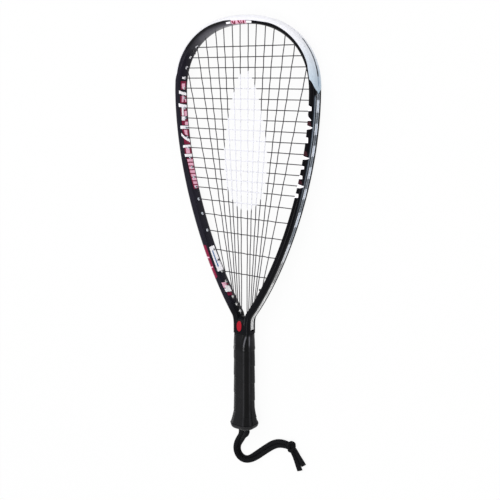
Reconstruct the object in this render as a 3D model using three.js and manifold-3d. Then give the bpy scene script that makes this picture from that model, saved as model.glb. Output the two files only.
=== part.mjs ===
// Racquetball racket lying on its back, in millimetres.
// The racket's own frame has x across the head, y from the butt end to the tip and z out of the
// string plane. The whole racket leans by a fraction of a degree, because it rests on the rim's
// tip and on the thicker heel of the handle.
import * as THREE from 'three';
import { mergeVertices } from 'three/addons/utils/BufferGeometryUtils.js';
import Module from 'manifold-3d';

const wasm = await Module();
wasm.setup();

// Sizes of the whole racket
const racket_length = 559;
const handle_length = 137.5;
const gap = 0.3;
const overrun = 1;
const least_step = 1;
const same_place = 1e-6;

// Hoop: the line through the middle of the rim
const head_half_width = 109.3;
const widest_below_tip = 98.7;
const head_exponent = 2.23;
const side_pull_share = 0.3752;
const arm_pull_share = 0.2745;
const arm_angle_degrees = 36.1;
const arm_foot_half_width = 12.5;
const arm_foot_above_handle = 27.8;
const arm_foot_pull = 5;
const leg_half_spacing = 8.7;
const leg_bend_above_handle = 10.6;
const leg_bend_pull = 8;

// Rim section
const rim_half_width = 5.13;
const rim_half_depth = 9.6;
const rim_face_share = 0.99;
const rim_corner_share = 0.8;
const rim_corner_depth_share = 0.78;
const rim_flat_share = 0.38;
const rim_inner_share = 0.34;
const channel_half_width = 3.27;
const channel_depth = 3.2;
const web_half_depth = 9;
const v_above_handle = 23;
const web_rise = 3;

// Shaft inside the grip, eight-sided
const grip_half_width = 14.3;
const grip_half_depth = 12.75;
const grip_chamfer = 6.3;
const wrap_thickness = 2;
const shaft_wall = 2.2;
const shaft_blend_length = 7.2;
const shaft_blend_inset = 1.25;
const spigot_height = 24;
const spigot_inset = 1;
const bore_stop_below_handle = 10.4;

// Butt cap
const cap_plate = 2.8;
const heel_half_width = 18.85;
const heel_half_depth = 16.8;
const heel_height = 7;
const heel_start_height = 4.2;
const cap_end_half_width = 13.4;
const cap_end_half_depth = 11.6;
const cap_round_height = 1.3;
const cap_round_half_width = 16.3;
const cap_round_half_depth = 14.3;
const flare_middle_height = 13;
const flare_middle_inset = 3.7;
const cap_edge_wall = 1.2;

// Grip
const collar_length = 24;
const collar_top_inset = 0.7;
const collar_swell = 0.3;
const collar_swell_share = 0.25;
const collar_taper_share = 0.125;
const wrap_pitch = 25;
const wrap_step = 0.45;
const wrap_sides_per_turn = 16;
const flare_top_height = 31;
const flare_exponent = 1.7;
const wrap_edge_share = 0.04;

// Bumper guard and grommet strips
const bumper_thickness = 1.2;
const bumper_half_depth = 8.3;
const bumper_end_half_depth = 3.7;
const bumper_taper_length = 30;
const bumper_channel_half_width = 2.3;
const bumper_crown_share = 0.6;
const bumper_lip_lift = 0.45;
const bumper_end_below_tip = 101;
const strip_half_width = 2.95;
const strip_thickness = 0.9;
const strip_split_above_v = 58.7;
const strip_bottom_below_v = 14.9;
const barrel_proud = 0.7;
const barrel_wall = 0.45;
const bore_radius = 1;
const shared_bore_radius = 1.8;
const round_sides = 5;

// Strings
const string_radius = 0.65;
const string_bend_clearance = 0.8;
const cross_count = 20;
const first_cross_below_tip = 39.1;
const last_cross_above_v = 58.5;
const pitch_growth_share = 0.2298;
const plain_pitch_count = 14;
const pair_half_spacing = 2.1;
const weave_steepness_share = 2.2;
const tie_knot_radius = 1.7;

// Main strings from the middle outwards: where they meet the top of the hoop, as shares of the
// head's half width. The last two pass through the holes of the first and the third cross.
const main_top_shares = [0.06, 0.178, 0.309, 0.432, 0.586];
const shared_crosses = [0, 2];
const main_count = 7;

// Heights of the holes in the arms above the bottom of the V, as shares of the head's length:
// three pairs of holes, the outermost main, and its tie-off just below it.
const pair_height_shares = [0.0175, 0.0394, 0.0635];
const outer_main_share = 0.1136;
const main_tie_share = 0.1004;

// Lanyard
const cord_radius = 2.6;
const cord_hole_half_spacing = 5.6;
const cord_hole_clearance = 0.45;
const cord_side_by_side = 3;
const cord_join_share = 0.2;
const cord_sides = 8;
const cord_steps = 12;
const bight_steps = 8;
const knot_length = 12;
const knot_half_width = 6.4;
const knot_waist = 5.7;
const knot_flatness_share = 0.72;
const knot_turn_degrees = 70;
const knot_sides = 12;
const tail_steps = 3;
// Middle of the two strands, from the butt end over the surface to the knot
const lanyard_route = [
  [0, -279.9, 16.9], [0, -285.4, 16.9], [-5.2, -293.5, 13.8], [-12.6, -302.8, 9], [-19, -312.8, 5],
  [-22.6, -321.8, 3], [-21.8, -329.6, 2.7], [-16.2, -334.9, 2.7], [-8, -335.7, 2.7], [0.5, -332.6, 2.7],
  [9.5, -326, 2.7], [22, -315.4, 2.7], [31.8, -307.4, 2.7], [41, -300.3, 2.7], [50.4, -296, 2.8],
  [63.2, -293.8, 4.2],
];
// The two tails, past their straight starts at the knot
const left_tail_route = [[77.2, -312, 2.8], [81.2, -320, 2.65], [84.6, -327.4, 2.65]];
const right_tail_route = [[83.2, -308.6, 2.8], [87.4, -313.6, 2.65], [91, -318.4, 2.65]];

// Materials
const carbon = new THREE.MeshStandardMaterial({ color: 0x17181a, roughness: 0.3, metalness: 0.1 });
const guard = new THREE.MeshStandardMaterial({ color: 0xd9dce8, roughness: 0.4, metalness: 0 });
const grommet = new THREE.MeshStandardMaterial({ color: 0xb9bcc2, roughness: 0.4, metalness: 0 });
const string = new THREE.MeshStandardMaterial({ color: 0x3c3b40, roughness: 0.35, metalness: 0 });
const foam = new THREE.MeshStandardMaterial({ color: 0xd8c79a, roughness: 0.9, metalness: 0 });
const rubber = new THREE.MeshStandardMaterial({ color: 0x1b1b1c, roughness: 0.7, metalness: 0 });
const leather = new THREE.MeshStandardMaterial({ color: 0x1e1e1f, roughness: 0.6, metalness: 0 });
const cord = new THREE.MeshStandardMaterial({ color: 0x101012, roughness: 0.85, metalness: 0 });

// Closed skin over a row of rings that all have as many points. The first and last ring are
// capped, with the triangles of the flat outline that the ring follows.
function skin(rings, outline) {
  const count = rings[0].length;
  const positions = [];
  const index = [];
  for (const ring of rings) {
    for (const point of ring) positions.push(point.x, point.y, point.z);
  }
  for (let r = 0; r + 1 < rings.length; r += 1) {
    for (let i = 0; i < count; i += 1) {
      const a = r * count + i;
      const b = r * count + (i + 1) % count;
      index.push(a, b, a + count, b, b + count, a + count);
    }
  }
  const last = (rings.length - 1) * count;
  for (const [a, b, c] of THREE.ShapeUtils.triangulateShape(outline, [])) {
    index.push(c, b, a, last + a, last + b, last + c);
  }
  const geometry = new THREE.BufferGeometry();
  geometry.setAttribute('position', new THREE.Float32BufferAttribute(positions, 3));
  geometry.setIndex(index);
  if (volume(geometry) < 0) {
    for (let i = 0; i < index.length; i += 3) [index[i], index[i + 1]] = [index[i + 1], index[i]];
    geometry.setIndex(index);
  }
  return geometry;
}

function volume(geometry) {
  const position = geometry.attributes.position;
  const index = geometry.index.array;
  const [a, b, c] = [new THREE.Vector3(), new THREE.Vector3(), new THREE.Vector3()];
  let sum = 0;
  for (let i = 0; i < index.length; i += 3) {
    a.fromBufferAttribute(position, index[i]);
    b.fromBufferAttribute(position, index[i + 1]);
    c.fromBufferAttribute(position, index[i + 2]);
    sum += a.dot(b.cross(c));
  }
  return sum;
}

function solid(geometry) {
  const bare = geometry.clone();
  for (const name of Object.keys(bare.attributes)) {
    if (name !== 'position') bare.deleteAttribute(name);
  }
  const merged = mergeVertices(bare);
  return new wasm.Manifold(new wasm.Mesh({
    numProp: 3,
    vertProperties: Float32Array.from(merged.attributes.position.array),
    triVerts: Uint32Array.from(merged.index.array),
  }));
}

function geometryOf(manifold) {
  const mesh = manifold.getMesh();
  const geometry = new THREE.BufferGeometry();
  geometry.setAttribute('position', new THREE.Float32BufferAttribute(mesh.vertProperties, 3));
  geometry.setIndex(Array.from(mesh.triVerts));
  return geometry;
}

// Hoop line: the right half from the tip to the leg's end, in straight chords
const rim_face = rim_half_width * rim_face_share;
const tip_height = racket_length - rim_face - gap - bumper_thickness;
const widest_height = racket_length - widest_below_tip;
const arm_foot_height = handle_length + arm_foot_above_handle;
const leg_bend_height = handle_length + leg_bend_above_handle;
const bottom_of_v = handle_length + v_above_handle;
const head_length = racket_length - bottom_of_v;
const shaft_bore_top = handle_length - bore_stop_below_handle;

function headPoints() {
  const steps = 14;
  const points = [];
  for (let i = 0; i <= steps; i += 1) {
    const angle = (i / steps) * Math.PI / 2;
    const across = Math.sin(angle) ** (2 / head_exponent);
    const along = Math.cos(angle) ** (2 / head_exponent);
    points.push(new THREE.Vector2(
      head_half_width * across,
      widest_height + (tip_height - widest_height) * Math.abs(along),
    ));
  }
  return points;
}

function hoopPoints() {
  const arm = THREE.MathUtils.degToRad(arm_angle_degrees);
  const along = new THREE.Vector2(Math.sin(arm), Math.cos(arm));
  const widest = new THREE.Vector2(head_half_width, widest_height);
  const foot = new THREE.Vector2(arm_foot_half_width, arm_foot_height);
  const side_height = widest_height - arm_foot_height;
  const side = new THREE.CubicBezierCurve(
    widest,
    new THREE.Vector2(head_half_width, widest_height - side_height * side_pull_share),
    foot.clone().addScaledVector(along, side_height * arm_pull_share),
    foot,
  );
  const leg_bend = new THREE.Vector2(leg_half_spacing, leg_bend_height);
  const ankle = new THREE.CubicBezierCurve(
    foot,
    foot.clone().addScaledVector(along, -arm_foot_pull),
    new THREE.Vector2(leg_half_spacing, leg_bend_height + leg_bend_pull),
    leg_bend,
  );
  return [
    ...headPoints(),
    ...side.getSpacedPoints(15).slice(1),
    ...ankle.getSpacedPoints(3).slice(1),
    new THREE.Vector2(leg_half_spacing, handle_length),
  ];
}

// Stations along the whole hoop, by their distance from the tip, negative on the left
const right_half = hoopPoints();
const stations = [];
let walked = 0;
right_half.forEach((point, i) => {
  if (i > 0) walked += point.distanceTo(right_half[i - 1]);
  stations.push({ s: walked, point });
  if (i > 0) stations.unshift({ s: -walked, point: new THREE.Vector2(-point.x, point.y) });
});
const hoop_reach = walked;

function segmentNormal(i) {
  const step = stations[i + 1].point.clone().sub(stations[i].point).normalize();
  return new THREE.Vector2(-step.y, step.x);
}

// Point and outward normal at a distance s along the hoop. At a station the normal is stretched
// so that offsets keep their distance from both chords.
function along(s) {
  const here = stations.findIndex((station) => Math.abs(station.s - s) < same_place);
  if (here > 0 && here < stations.length - 1) {
    const before = segmentNormal(here - 1);
    const normal = before.clone().add(segmentNormal(here)).normalize();
    return { point: stations[here].point, normal: normal.multiplyScalar(1 / normal.dot(before)) };
  }
  const next = stations.findIndex((station) => station.s > s + same_place);
  const i = next < 0 ? stations.length - 2 : Math.max(next - 1, 0);
  const share = (s - stations[i].s) / (stations[i + 1].s - stations[i].s);
  return {
    point: stations[i].point.clone().lerp(stations[i + 1].point, share),
    normal: segmentNormal(i),
  };
}

// Place beside the hoop: s along it, u outwards from its line, w out of the string plane
function place(s, u, w) {
  const { point, normal } = along(s);
  return new THREE.Vector3(point.x + normal.x * u, point.y + normal.y * u, w);
}

function stationsBetween(from, to) {
  const [low, high] = [Math.min(from, to) + least_step, Math.max(from, to) - least_step];
  const inside = stations.map((station) => station.s).filter((s) => s > low && s < high);
  return [from, ...(from > to ? inside.reverse() : inside), to];
}

// Solid along the hoop whose section is given for each place as points (u, w)
function sweep(from, to, section) {
  const places = stationsBetween(from, to);
  const rings = places.map((s) => section(s).map((point) => place(s, point.x, point.y)));
  return skin(rings, section(from));
}

// Distance along the right half at which a measured value falls to the wanted one
function seek(low, high, value, wanted) {
  let [near, far] = [low, high];
  for (let i = 0; i < 40; i += 1) {
    const middle = (near + far) / 2;
    if (value(middle) > wanted) near = middle;
    else far = middle;
  }
  return (near + far) / 2;
}

function mirrored(points) {
  return [...points, ...points.slice().reverse().map((point) => new THREE.Vector2(point.x, -point.y))];
}

// Rim section, one half from the inner wall round to the channel floor
const channel_floor = rim_face - channel_depth;
const rim_section = mirrored([
  new THREE.Vector2(channel_floor, channel_half_width),
  new THREE.Vector2(rim_face, channel_half_width),
  new THREE.Vector2(rim_half_width * rim_corner_share, rim_half_depth * rim_corner_depth_share),
  new THREE.Vector2(rim_half_width * rim_flat_share, rim_half_depth),
  new THREE.Vector2(-rim_half_width * rim_flat_share, rim_half_depth),
  new THREE.Vector2(-rim_half_width * rim_corner_share, rim_half_depth * rim_corner_depth_share),
  new THREE.Vector2(-rim_half_width, rim_half_depth * rim_inner_share),
]);

// How far out the rim's outer skin lies at a depth w
function rimSkin(w) {
  const rows = rim_section.slice(1, 4);
  const i = w < rows[1].y ? 0 : 1;
  const share = (w - rows[i].y) / (rows[i + 1].y - rows[i].y);
  return THREE.MathUtils.lerp(rows[i].x, rows[i + 1].x, share);
}

// Eight-sided outline, shrunk evenly by an inset
function octagon(half_width, half_depth, chamfer) {
  const corner = [
    [half_width, half_depth - chamfer],
    [half_width - chamfer, half_depth],
  ];
  const upper = [...corner, ...corner.slice().reverse().map(([x, z]) => [-x, z])];
  return [...upper, ...upper.slice().reverse().map(([x, z]) => [x, -z])];
}

function gripOctagon(inset) {
  const chamfer = grip_chamfer - inset * (2 - Math.SQRT2);
  return octagon(grip_half_width - inset, grip_half_depth - inset, chamfer);
}

function heelOctagon(half_width, half_depth) {
  return octagon(half_width, half_depth, half_width * grip_chamfer / grip_half_width);
}

// Solid along the handle from a list of heights with their outlines
function loft(rows) {
  const rings = rows.map(([y, outline]) => outline.map(([x, z]) => new THREE.Vector3(x, y, z)));
  return skin(rings, rows[0][1].map(([x, z]) => new THREE.Vector2(x, z)));
}

// Round bar between two points
function rod(from, to, radius, sides) {
  const axis = to.clone().sub(from);
  const geometry = new THREE.CylinderGeometry(radius, radius, axis.length(), sides);
  const turn = new THREE.Quaternion().setFromUnitVectors(
    new THREE.Vector3(0, 1, 0),
    axis.clone().normalize(),
  );
  geometry.applyQuaternion(turn);
  const middle = from.clone().add(to).multiplyScalar(0.5);
  geometry.translate(middle.x, middle.y, middle.z);
  return geometry;
}

// Tube through a list of points. Each ring lies in the plane that halves the bend, so every
// stretch keeps its full section.
function tube(points, radius, sides) {
  const first = points[1].clone().sub(points[0]).normalize();
  let side = new THREE.Vector3(0, 0, 1);
  side.addScaledVector(first, -side.dot(first)).normalize();
  let heading = first;
  const rings = points.map((point, i) => {
    const next = i + 1 < points.length ? points[i + 1].clone().sub(point).normalize() : heading;
    const plane = heading.clone().add(next).normalize();
    const up = new THREE.Vector3().crossVectors(heading, side);
    const ring = [];
    for (let k = 0; k < sides; k += 1) {
      const angle = 2 * Math.PI * (k + 0.5) / sides;
      const offset = side.clone().multiplyScalar(Math.cos(angle)).addScaledVector(up, Math.sin(angle));
      offset.multiplyScalar(radius);
      offset.addScaledVector(heading, -offset.dot(plane) / heading.dot(plane));
      ring.push(point.clone().add(offset));
    }
    const turn = new THREE.Quaternion().setFromUnitVectors(heading, next);
    side = side.clone().applyQuaternion(turn);
    heading = next;
    return ring;
  });
  const outline = [];
  for (let k = 0; k < sides; k += 1) {
    const angle = 2 * Math.PI * (k + 0.5) / sides;
    outline.push(new THREE.Vector2(Math.cos(angle), Math.sin(angle)));
  }
  return skin(rings, outline);
}

// String holes: where each string bends at the rim's inner wall, and how deep its bore runs
const mouth_offset = -(rim_half_width + barrel_proud + string_bend_clearance);
const strip_top = channel_floor + gap + strip_thickness;
const run_height = strip_top + gap + string_radius;
const high_run_height = run_height + 2 * string_radius + gap;
const flat_share = Math.cos(Math.PI / round_sides);

function mouth(s) {
  return place(s, mouth_offset, 0);
}

// Crosses keep one pitch and then spread out towards the throat. The drop to each row is counted
// in pitches.
function crossDrop(row) {
  const widening = Math.max(row - plain_pitch_count, 0);
  return row + pitch_growth_share * widening * (widening + 1) / 2;
}

const first_cross_height = racket_length - first_cross_below_tip;
const last_cross_height = bottom_of_v + last_cross_above_v;
const cross_pitch = (first_cross_height - last_cross_height) / crossDrop(cross_count - 1);

const crosses = [];
for (let row = 0; row < cross_count; row += 1) {
  const height = first_cross_height - crossDrop(row) * cross_pitch;
  crosses.push({ height, s: seek(0, hoop_reach, (s) => mouth(s).y, height) });
}

const mains = [];
for (let i = 0; i < main_count; i += 1) {
  const shared = i - main_top_shares.length;
  const top = shared < 0
    ? seek(0, crosses[0].s, (s) => -mouth(s).x, -main_top_shares[i] * head_half_width)
    : crosses[shared_crosses[shared]].s;
  const pair = pair_height_shares[Math.floor(i / 2)];
  const foot_height = bottom_of_v + (pair ?? outer_main_share) * head_length;
  const foot = seek(crosses[0].s, hoop_reach, (s) => mouth(s).y, foot_height);
  const spread = pair === undefined ? 0 : pair_half_spacing * (i % 2 === 0 ? 1 : -1);
  mains.push({ top, bottom: foot + spread, shared: shared >= 0 });
}
const main_tie_height = bottom_of_v + main_tie_share * head_length;
const main_tie = seek(crosses[0].s, hoop_reach, (s) => mouth(s).y, main_tie_height);
const upper_cross_tie = (crosses[0].s + crosses[1].s) / 2;
const lower_cross_tie = (crosses[cross_count - 2].s + crosses[cross_count - 1].s) / 2;

const holes = [];
for (const side of [-1, 1]) {
  crosses.forEach(({ s }, row) => holes.push({ s: side * s, shared: shared_crosses.includes(row) }));
  mains.forEach(({ top, bottom, shared }) => {
    if (!shared) holes.push({ s: side * top, shared: false });
    holes.push({ s: side * bottom, shared: false });
  });
  holes.push({ s: side * main_tie, shared: false });
}
holes.push({ s: -upper_cross_tie, shared: false });
holes.push({ s: -lower_cross_tie, shared: false });

function boreRadius(hole) {
  return hole.shared ? shared_bore_radius : bore_radius;
}

function holeBar({ s }, from, to, flat_radius) {
  return solid(rod(place(s, from, 0), place(s, to, 0), flat_radius / flat_share, round_sides));
}

// Frame: hoop, web and shaft in one moulding, drilled and bored
function webSolid() {
  const outline = new THREE.Shape();
  const feet = right_half.filter((point) => point.y < bottom_of_v + web_rise);
  const top = feet[0];
  outline.moveTo(-top.x, top.y);
  outline.quadraticCurveTo(0, 2 * bottom_of_v - top.y, top.x, top.y);
  feet.slice(1).forEach((point) => outline.lineTo(point.x, point.y));
  feet.slice(1).reverse().forEach((point) => outline.lineTo(-point.x, point.y));
  const geometry = new THREE.ExtrudeGeometry(outline, {
    depth: 2 * web_half_depth,
    bevelEnabled: false,
    curveSegments: 6,
  });
  geometry.translate(0, 0, -web_half_depth);
  return solid(geometry);
}

function makeFrame() {
  const shaft_inset = wrap_thickness + gap;
  const bore_inset = shaft_inset + shaft_wall;
  const blend_top = handle_length + shaft_blend_length;
  const shaft = solid(loft([
    [cap_plate + gap, gripOctagon(shaft_inset + spigot_inset)],
    [spigot_height, gripOctagon(shaft_inset + spigot_inset)],
    [spigot_height, gripOctagon(shaft_inset)],
    [handle_length, gripOctagon(shaft_inset)],
    [blend_top, gripOctagon(shaft_inset + shaft_blend_inset)],
  ]));
  const bore = solid(loft([
    [-overrun, gripOctagon(bore_inset)],
    [shaft_bore_top, gripOctagon(bore_inset)],
  ]));
  let frame = solid(sweep(-hoop_reach, hoop_reach, () => rim_section));
  frame = frame.add(webSolid()).add(shaft).subtract(bore);
  for (const hole of holes) {
    const radius = boreRadius(hole) + barrel_wall + gap;
    frame = frame.subtract(holeBar(hole, -rim_half_width - overrun, channel_floor + overrun, radius));
  }
  return geometryOf(frame);
}

// Guard over the head's top. Its lips narrow to points at both ends.
const bumper_reach = seek(0, hoop_reach, (s) => place(s, 0, 0).y, racket_length - bumper_end_below_tip);

function bumperSection(s) {
  const taper = Math.min((bumper_reach - Math.abs(s)) / bumper_taper_length, 1);
  const lip = THREE.MathUtils.lerp(bumper_end_half_depth, bumper_half_depth, Math.sqrt(taper));
  const bend = Math.min(lip - gap, rim_half_depth * rim_corner_depth_share);
  const crown = THREE.MathUtils.lerp(bumper_channel_half_width, lip, bumper_crown_share);
  const inner = rim_face + gap;
  return mirrored([
    new THREE.Vector2(strip_top, bumper_channel_half_width),
    new THREE.Vector2(inner + bumper_thickness, bumper_channel_half_width),
    new THREE.Vector2(inner + bumper_thickness, crown),
    new THREE.Vector2(rimSkin(lip) + bumper_lip_lift + bumper_thickness / 2, lip + gap),
    new THREE.Vector2(rimSkin(lip) + bumper_lip_lift, lip),
    new THREE.Vector2(rimSkin(bend) + bumper_lip_lift, bend),
    new THREE.Vector2(inner, channel_half_width),
    new THREE.Vector2(inner, strip_half_width),
    new THREE.Vector2(channel_floor + gap, strip_half_width),
  ]);
}

const strip_section = [
  new THREE.Vector2(channel_floor + gap, -strip_half_width),
  new THREE.Vector2(strip_top, -strip_half_width),
  new THREE.Vector2(strip_top, strip_half_width),
  new THREE.Vector2(channel_floor + gap, strip_half_width),
];

function withBarrels(geometry, from, to) {
  const mine = holes.filter(({ s }) => s > from && s < to);
  let part = solid(geometry);
  for (const hole of mine) {
    const radius = boreRadius(hole) + barrel_wall;
    part = part.add(holeBar(hole, -rim_half_width - barrel_proud, channel_floor + gap * 2, radius));
  }
  for (const hole of mine) {
    const inner_end = -rim_half_width - barrel_proud - overrun;
    part = part.subtract(holeBar(hole, inner_end, strip_top + gap, boreRadius(hole)));
  }
  return geometryOf(part);
}

function makeStrip(from, to) {
  return withBarrels(sweep(from, to, () => strip_section), from, to);
}

// Strings: places in the middle of each crossing, woven over and under
function mainLine(i, side) {
  const top = place(side * mains[i].top, mouth_offset, 0);
  const bottom = place(side * mains[i].bottom, mouth_offset, 0);
  return { top, bottom };
}

function mainAcross(i, side, height) {
  const { top, bottom } = mainLine(i, side);
  const share = (height - bottom.y) / (top.y - bottom.y);
  return THREE.MathUtils.lerp(bottom.x, top.x, share);
}

function crossesMain(row, i) {
  const { top, bottom } = mainLine(i, 1);
  const height = crosses[row].height;
  const reach = mouth(crosses[row].s).x;
  const inside = mainAcross(i, 1, height) < reach - string_radius;
  return height < top.y - string_radius && height > bottom.y + string_radius && inside;
}

// Strings run steeper where the mains lie close together, so they cross with more room there
function weaveOffset(row) {
  const least = string_radius + gap / 2;
  const main_spacing = mouth(crosses[row].s).x / main_count;
  return least * (1 + weave_steepness_share * (2 * least / main_spacing) ** 2);
}

function weave(row, i, side) {
  const column = side > 0 ? main_count + i : main_count - 1 - i;
  return (row + column) % 2 === 0 ? weaveOffset(row) : -weaveOffset(row);
}

// Height above the string plane at which a string lies in the holes that two strings share
const shared_offset = string_radius + gap / 2;

// Run along the outside between two holes, at a distance u from the hoop's line
function outsideRun(from, to, u, w_from, w_to) {
  return stationsBetween(from, to).map((s) => {
    const share = (s - from) / (to - from);
    return place(s, u, THREE.MathUtils.lerp(w_from, w_to, share));
  });
}

// One main from its top mouth to its bottom mouth
function mainPoints(i, side) {
  const { top, bottom } = mainLine(i, side);
  top.z = mains[i].shared ? shared_offset : 0;
  const points = [top];
  crosses.forEach(({ height }, row) => {
    if (crossesMain(row, i)) {
      points.push(new THREE.Vector3(mainAcross(i, side, height), height, weave(row, i, side)));
    }
  });
  return [...points, bottom];
}

// Half of the main string, from the knot at the outermost main's foot to the middle of the top
function mainHalf(side) {
  const last = main_count - 1;
  const points = [place(side * main_tie, mouth_offset, 0)];
  points.push(...outsideRun(side * main_tie, side * mains[last].bottom, run_height, 0, 0));
  for (let i = last; i >= 0; i -= 1) {
    const upwards = (last - i) % 2 === 0;
    const line = mainPoints(i, side);
    points.push(...(upwards ? line.reverse() : line));
    if (i === 0) break;
    const end = upwards ? 'top' : 'bottom';
    const high = upwards && mains[i].shared;
    const w = high ? shared_offset : 0;
    const u = high ? high_run_height : run_height;
    points.push(...outsideRun(side * mains[i][end], side * mains[i - 1][end], u, w, w));
  }
  return points;
}

function makeMainString() {
  const left = mainHalf(-1);
  const right = mainHalf(1).reverse();
  const middle = outsideRun(-mains[0].top, mains[0].top, run_height, 0, 0);
  return tube([...left, ...middle, ...right], string_radius, round_sides);
}

function crossPoints(row, from_side) {
  const { height, s } = crosses[row];
  const start = place(-s, mouth_offset, 0);
  const end = place(s, mouth_offset, 0);
  if (shared_crosses.includes(row)) {
    start.z = -shared_offset;
    end.z = -shared_offset;
  }
  const points = [start];
  for (let column = 0; column < 2 * main_count; column += 1) {
    const side = column < main_count ? -1 : 1;
    const i = side < 0 ? main_count - 1 - column : column - main_count;
    if (crossesMain(row, i)) {
      points.push(new THREE.Vector3(mainAcross(i, side, height), height, -weave(row, i, side)));
    }
  }
  points.push(end);
  return from_side < 0 ? points : points.reverse();
}

function makeCrossString() {
  const depth = (row) => (shared_crosses.includes(row) ? -shared_offset : 0);
  const points = [place(-upper_cross_tie, mouth_offset, 0)];
  points.push(...outsideRun(-upper_cross_tie, -crosses[0].s, run_height, 0, depth(0)));
  for (let row = 0; row < cross_count; row += 1) {
    const from_side = row % 2 === 0 ? -1 : 1;
    points.push(...crossPoints(row, from_side));
    if (row + 1 === cross_count) break;
    const from = -from_side * crosses[row].s;
    const to = -from_side * crosses[row + 1].s;
    points.push(...outsideRun(from, to, run_height, depth(row), depth(row + 1)));
  }
  const last = crosses[cross_count - 1].s;
  points.push(...outsideRun(-last, -lower_cross_tie, run_height, 0, 0));
  points.push(place(-lower_cross_tie, mouth_offset, 0));
  return tube(points, string_radius, round_sides);
}

// Tie-off knot against the end of its string, inside the hoop
function makeKnot(s) {
  const geometry = new THREE.SphereGeometry(tie_knot_radius, 8, 5);
  const centre = place(s, mouth_offset - gap - tie_knot_radius, 0);
  geometry.translate(centre.x, centre.y, centre.z);
  return geometry;
}

// Butt cap: flared heel, end plate with two lanyard holes, sleeve over the shaft's spigot
const spigot_total_inset = wrap_thickness + gap + spigot_inset;
const sleeve_inset = spigot_total_inset - gap;

function makeButtCap() {
  const outside = solid(loft([
    [0, heelOctagon(cap_end_half_width, cap_end_half_depth)],
    [cap_round_height, heelOctagon(cap_round_half_width, cap_round_half_depth)],
    [heel_start_height, heelOctagon(heel_half_width - gap, heel_half_depth - gap)],
    [heel_height, heelOctagon(heel_half_width, heel_half_depth)],
    [heel_height, heelUnderWrap()],
    [flare_middle_height, flareUnderWrap()],
    [spigot_height - gap, gripOctagon(sleeve_inset - cap_edge_wall)],
  ]));
  const inside = solid(loft([
    [cap_plate, gripOctagon(sleeve_inset)],
    [spigot_height + overrun, gripOctagon(sleeve_inset)],
  ]));
  let cap = outside.subtract(inside);
  for (const side of [-1, 1]) {
    const x = side * cord_hole_half_spacing;
    const from = new THREE.Vector3(x, -overrun, 0);
    const to = new THREE.Vector3(x, cap_plate + overrun, 0);
    cap = cap.subtract(solid(rod(from, to, cord_radius + cord_hole_clearance, cord_sides)));
  }
  return geometryOf(cap);
}

function heelUnderWrap() {
  const inset = wrap_thickness + gap;
  return heelOctagon(heel_half_width - inset, heel_half_depth - inset);
}

function flareUnderWrap() {
  return heelOctagon(heel_half_width - flare_middle_inset, heel_half_depth - flare_middle_inset);
}

// Grip wrap: a tape wound up the handle, each turn lapping the one below. The turns are a
// stepped skin whose step climbs once round in a pitch, cut square at both ends.
function wrapOutline(y) {
  const flare = THREE.MathUtils.clamp((flare_top_height - y) / (flare_top_height - heel_height), 0, 1);
  const grown = flare ** flare_exponent;
  const half_width = THREE.MathUtils.lerp(grip_half_width, heel_half_width - gap, grown);
  const half_depth = THREE.MathUtils.lerp(grip_half_depth, heel_half_depth - gap, grown);
  return heelOctagon(half_width, half_depth);
}

// Point of an outline at a share of the way round it, counted by corners
function around(outline, turn) {
  const at = turn * outline.length;
  const i = Math.floor(at) % outline.length;
  const [ax, az] = outline[i];
  const [bx, bz] = outline[(i + 1) % outline.length];
  const share = at - Math.floor(at);
  return new THREE.Vector2(
    THREE.MathUtils.lerp(ax, bx, share),
    THREE.MathUtils.lerp(az, bz, share),
  );
}

function wrapSkin(bottom, top) {
  const turns = Math.ceil((top - bottom) / wrap_pitch) + 2;
  const levels = [];
  for (let turn = 0; turn < turns; turn += 1) {
    levels.push([turn + wrap_edge_share, 0], [turn + 0.5, wrap_step / 2], [turn + 1, wrap_step]);
  }
  const rings = levels.map(([level, sunk]) => {
    const ring = [];
    for (let k = 0; k < wrap_sides_per_turn; k += 1) {
      const y = bottom + (level - 2 + k / wrap_sides_per_turn) * wrap_pitch;
      const point = around(wrapOutline(y), k / wrap_sides_per_turn);
      const shrink = 1 - sunk / point.length();
      ring.push(new THREE.Vector3(point.x * shrink, y, point.y * shrink));
    }
    return ring;
  });
  return rings;
}

function makeGripWrap() {
  const bottom = heel_height + gap;
  const top = handle_length - gap - collar_length - gap;
  const rings = wrapSkin(bottom, top);
  const outline = rings[0].map((point) => new THREE.Vector2(point.x, point.z));
  const slab = new THREE.BoxGeometry(racket_length, top - bottom, racket_length);
  slab.translate(0, (top + bottom) / 2, 0);
  const inside = solid(loft([
    [bottom - overrun, insetOutline(heelUnderWrap())],
    [heel_height, insetOutline(heelUnderWrap())],
    [flare_middle_height, insetOutline(flareUnderWrap())],
    [spigot_height, gripOctagon(sleeve_inset - cap_edge_wall - gap)],
    [spigot_height + cap_plate, gripOctagon(wrap_thickness)],
    [top + overrun, gripOctagon(wrap_thickness)],
  ]));
  return geometryOf(solid(skin(rings, outline)).intersect(solid(slab)).subtract(inside));
}

function insetOutline(outline) {
  return outline.map(([x, z]) => [x + Math.sign(x) * gap, z + Math.sign(z) * gap]);
}

function makeGripCollar() {
  const top = handle_length - gap;
  const bottom = top - collar_length;
  const outside = solid(loft([
    [bottom, gripOctagon(0)],
    [bottom + collar_length * collar_swell_share, gripOctagon(-collar_swell)],
    [top - collar_length * collar_taper_share, gripOctagon(collar_top_inset / 2)],
    [top, gripOctagon(collar_top_inset)],
  ]));
  const inside = solid(loft([
    [bottom - overrun, gripOctagon(wrap_thickness)],
    [top + overrun, gripOctagon(wrap_thickness)],
  ]));
  return geometryOf(outside.subtract(inside));
}

function makeHandleCore() {
  const inset = wrap_thickness + gap + shaft_wall + gap;
  return loft([
    [spigot_height, gripOctagon(inset)],
    [shaft_bore_top - gap, gripOctagon(inset)],
  ]);
}

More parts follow.
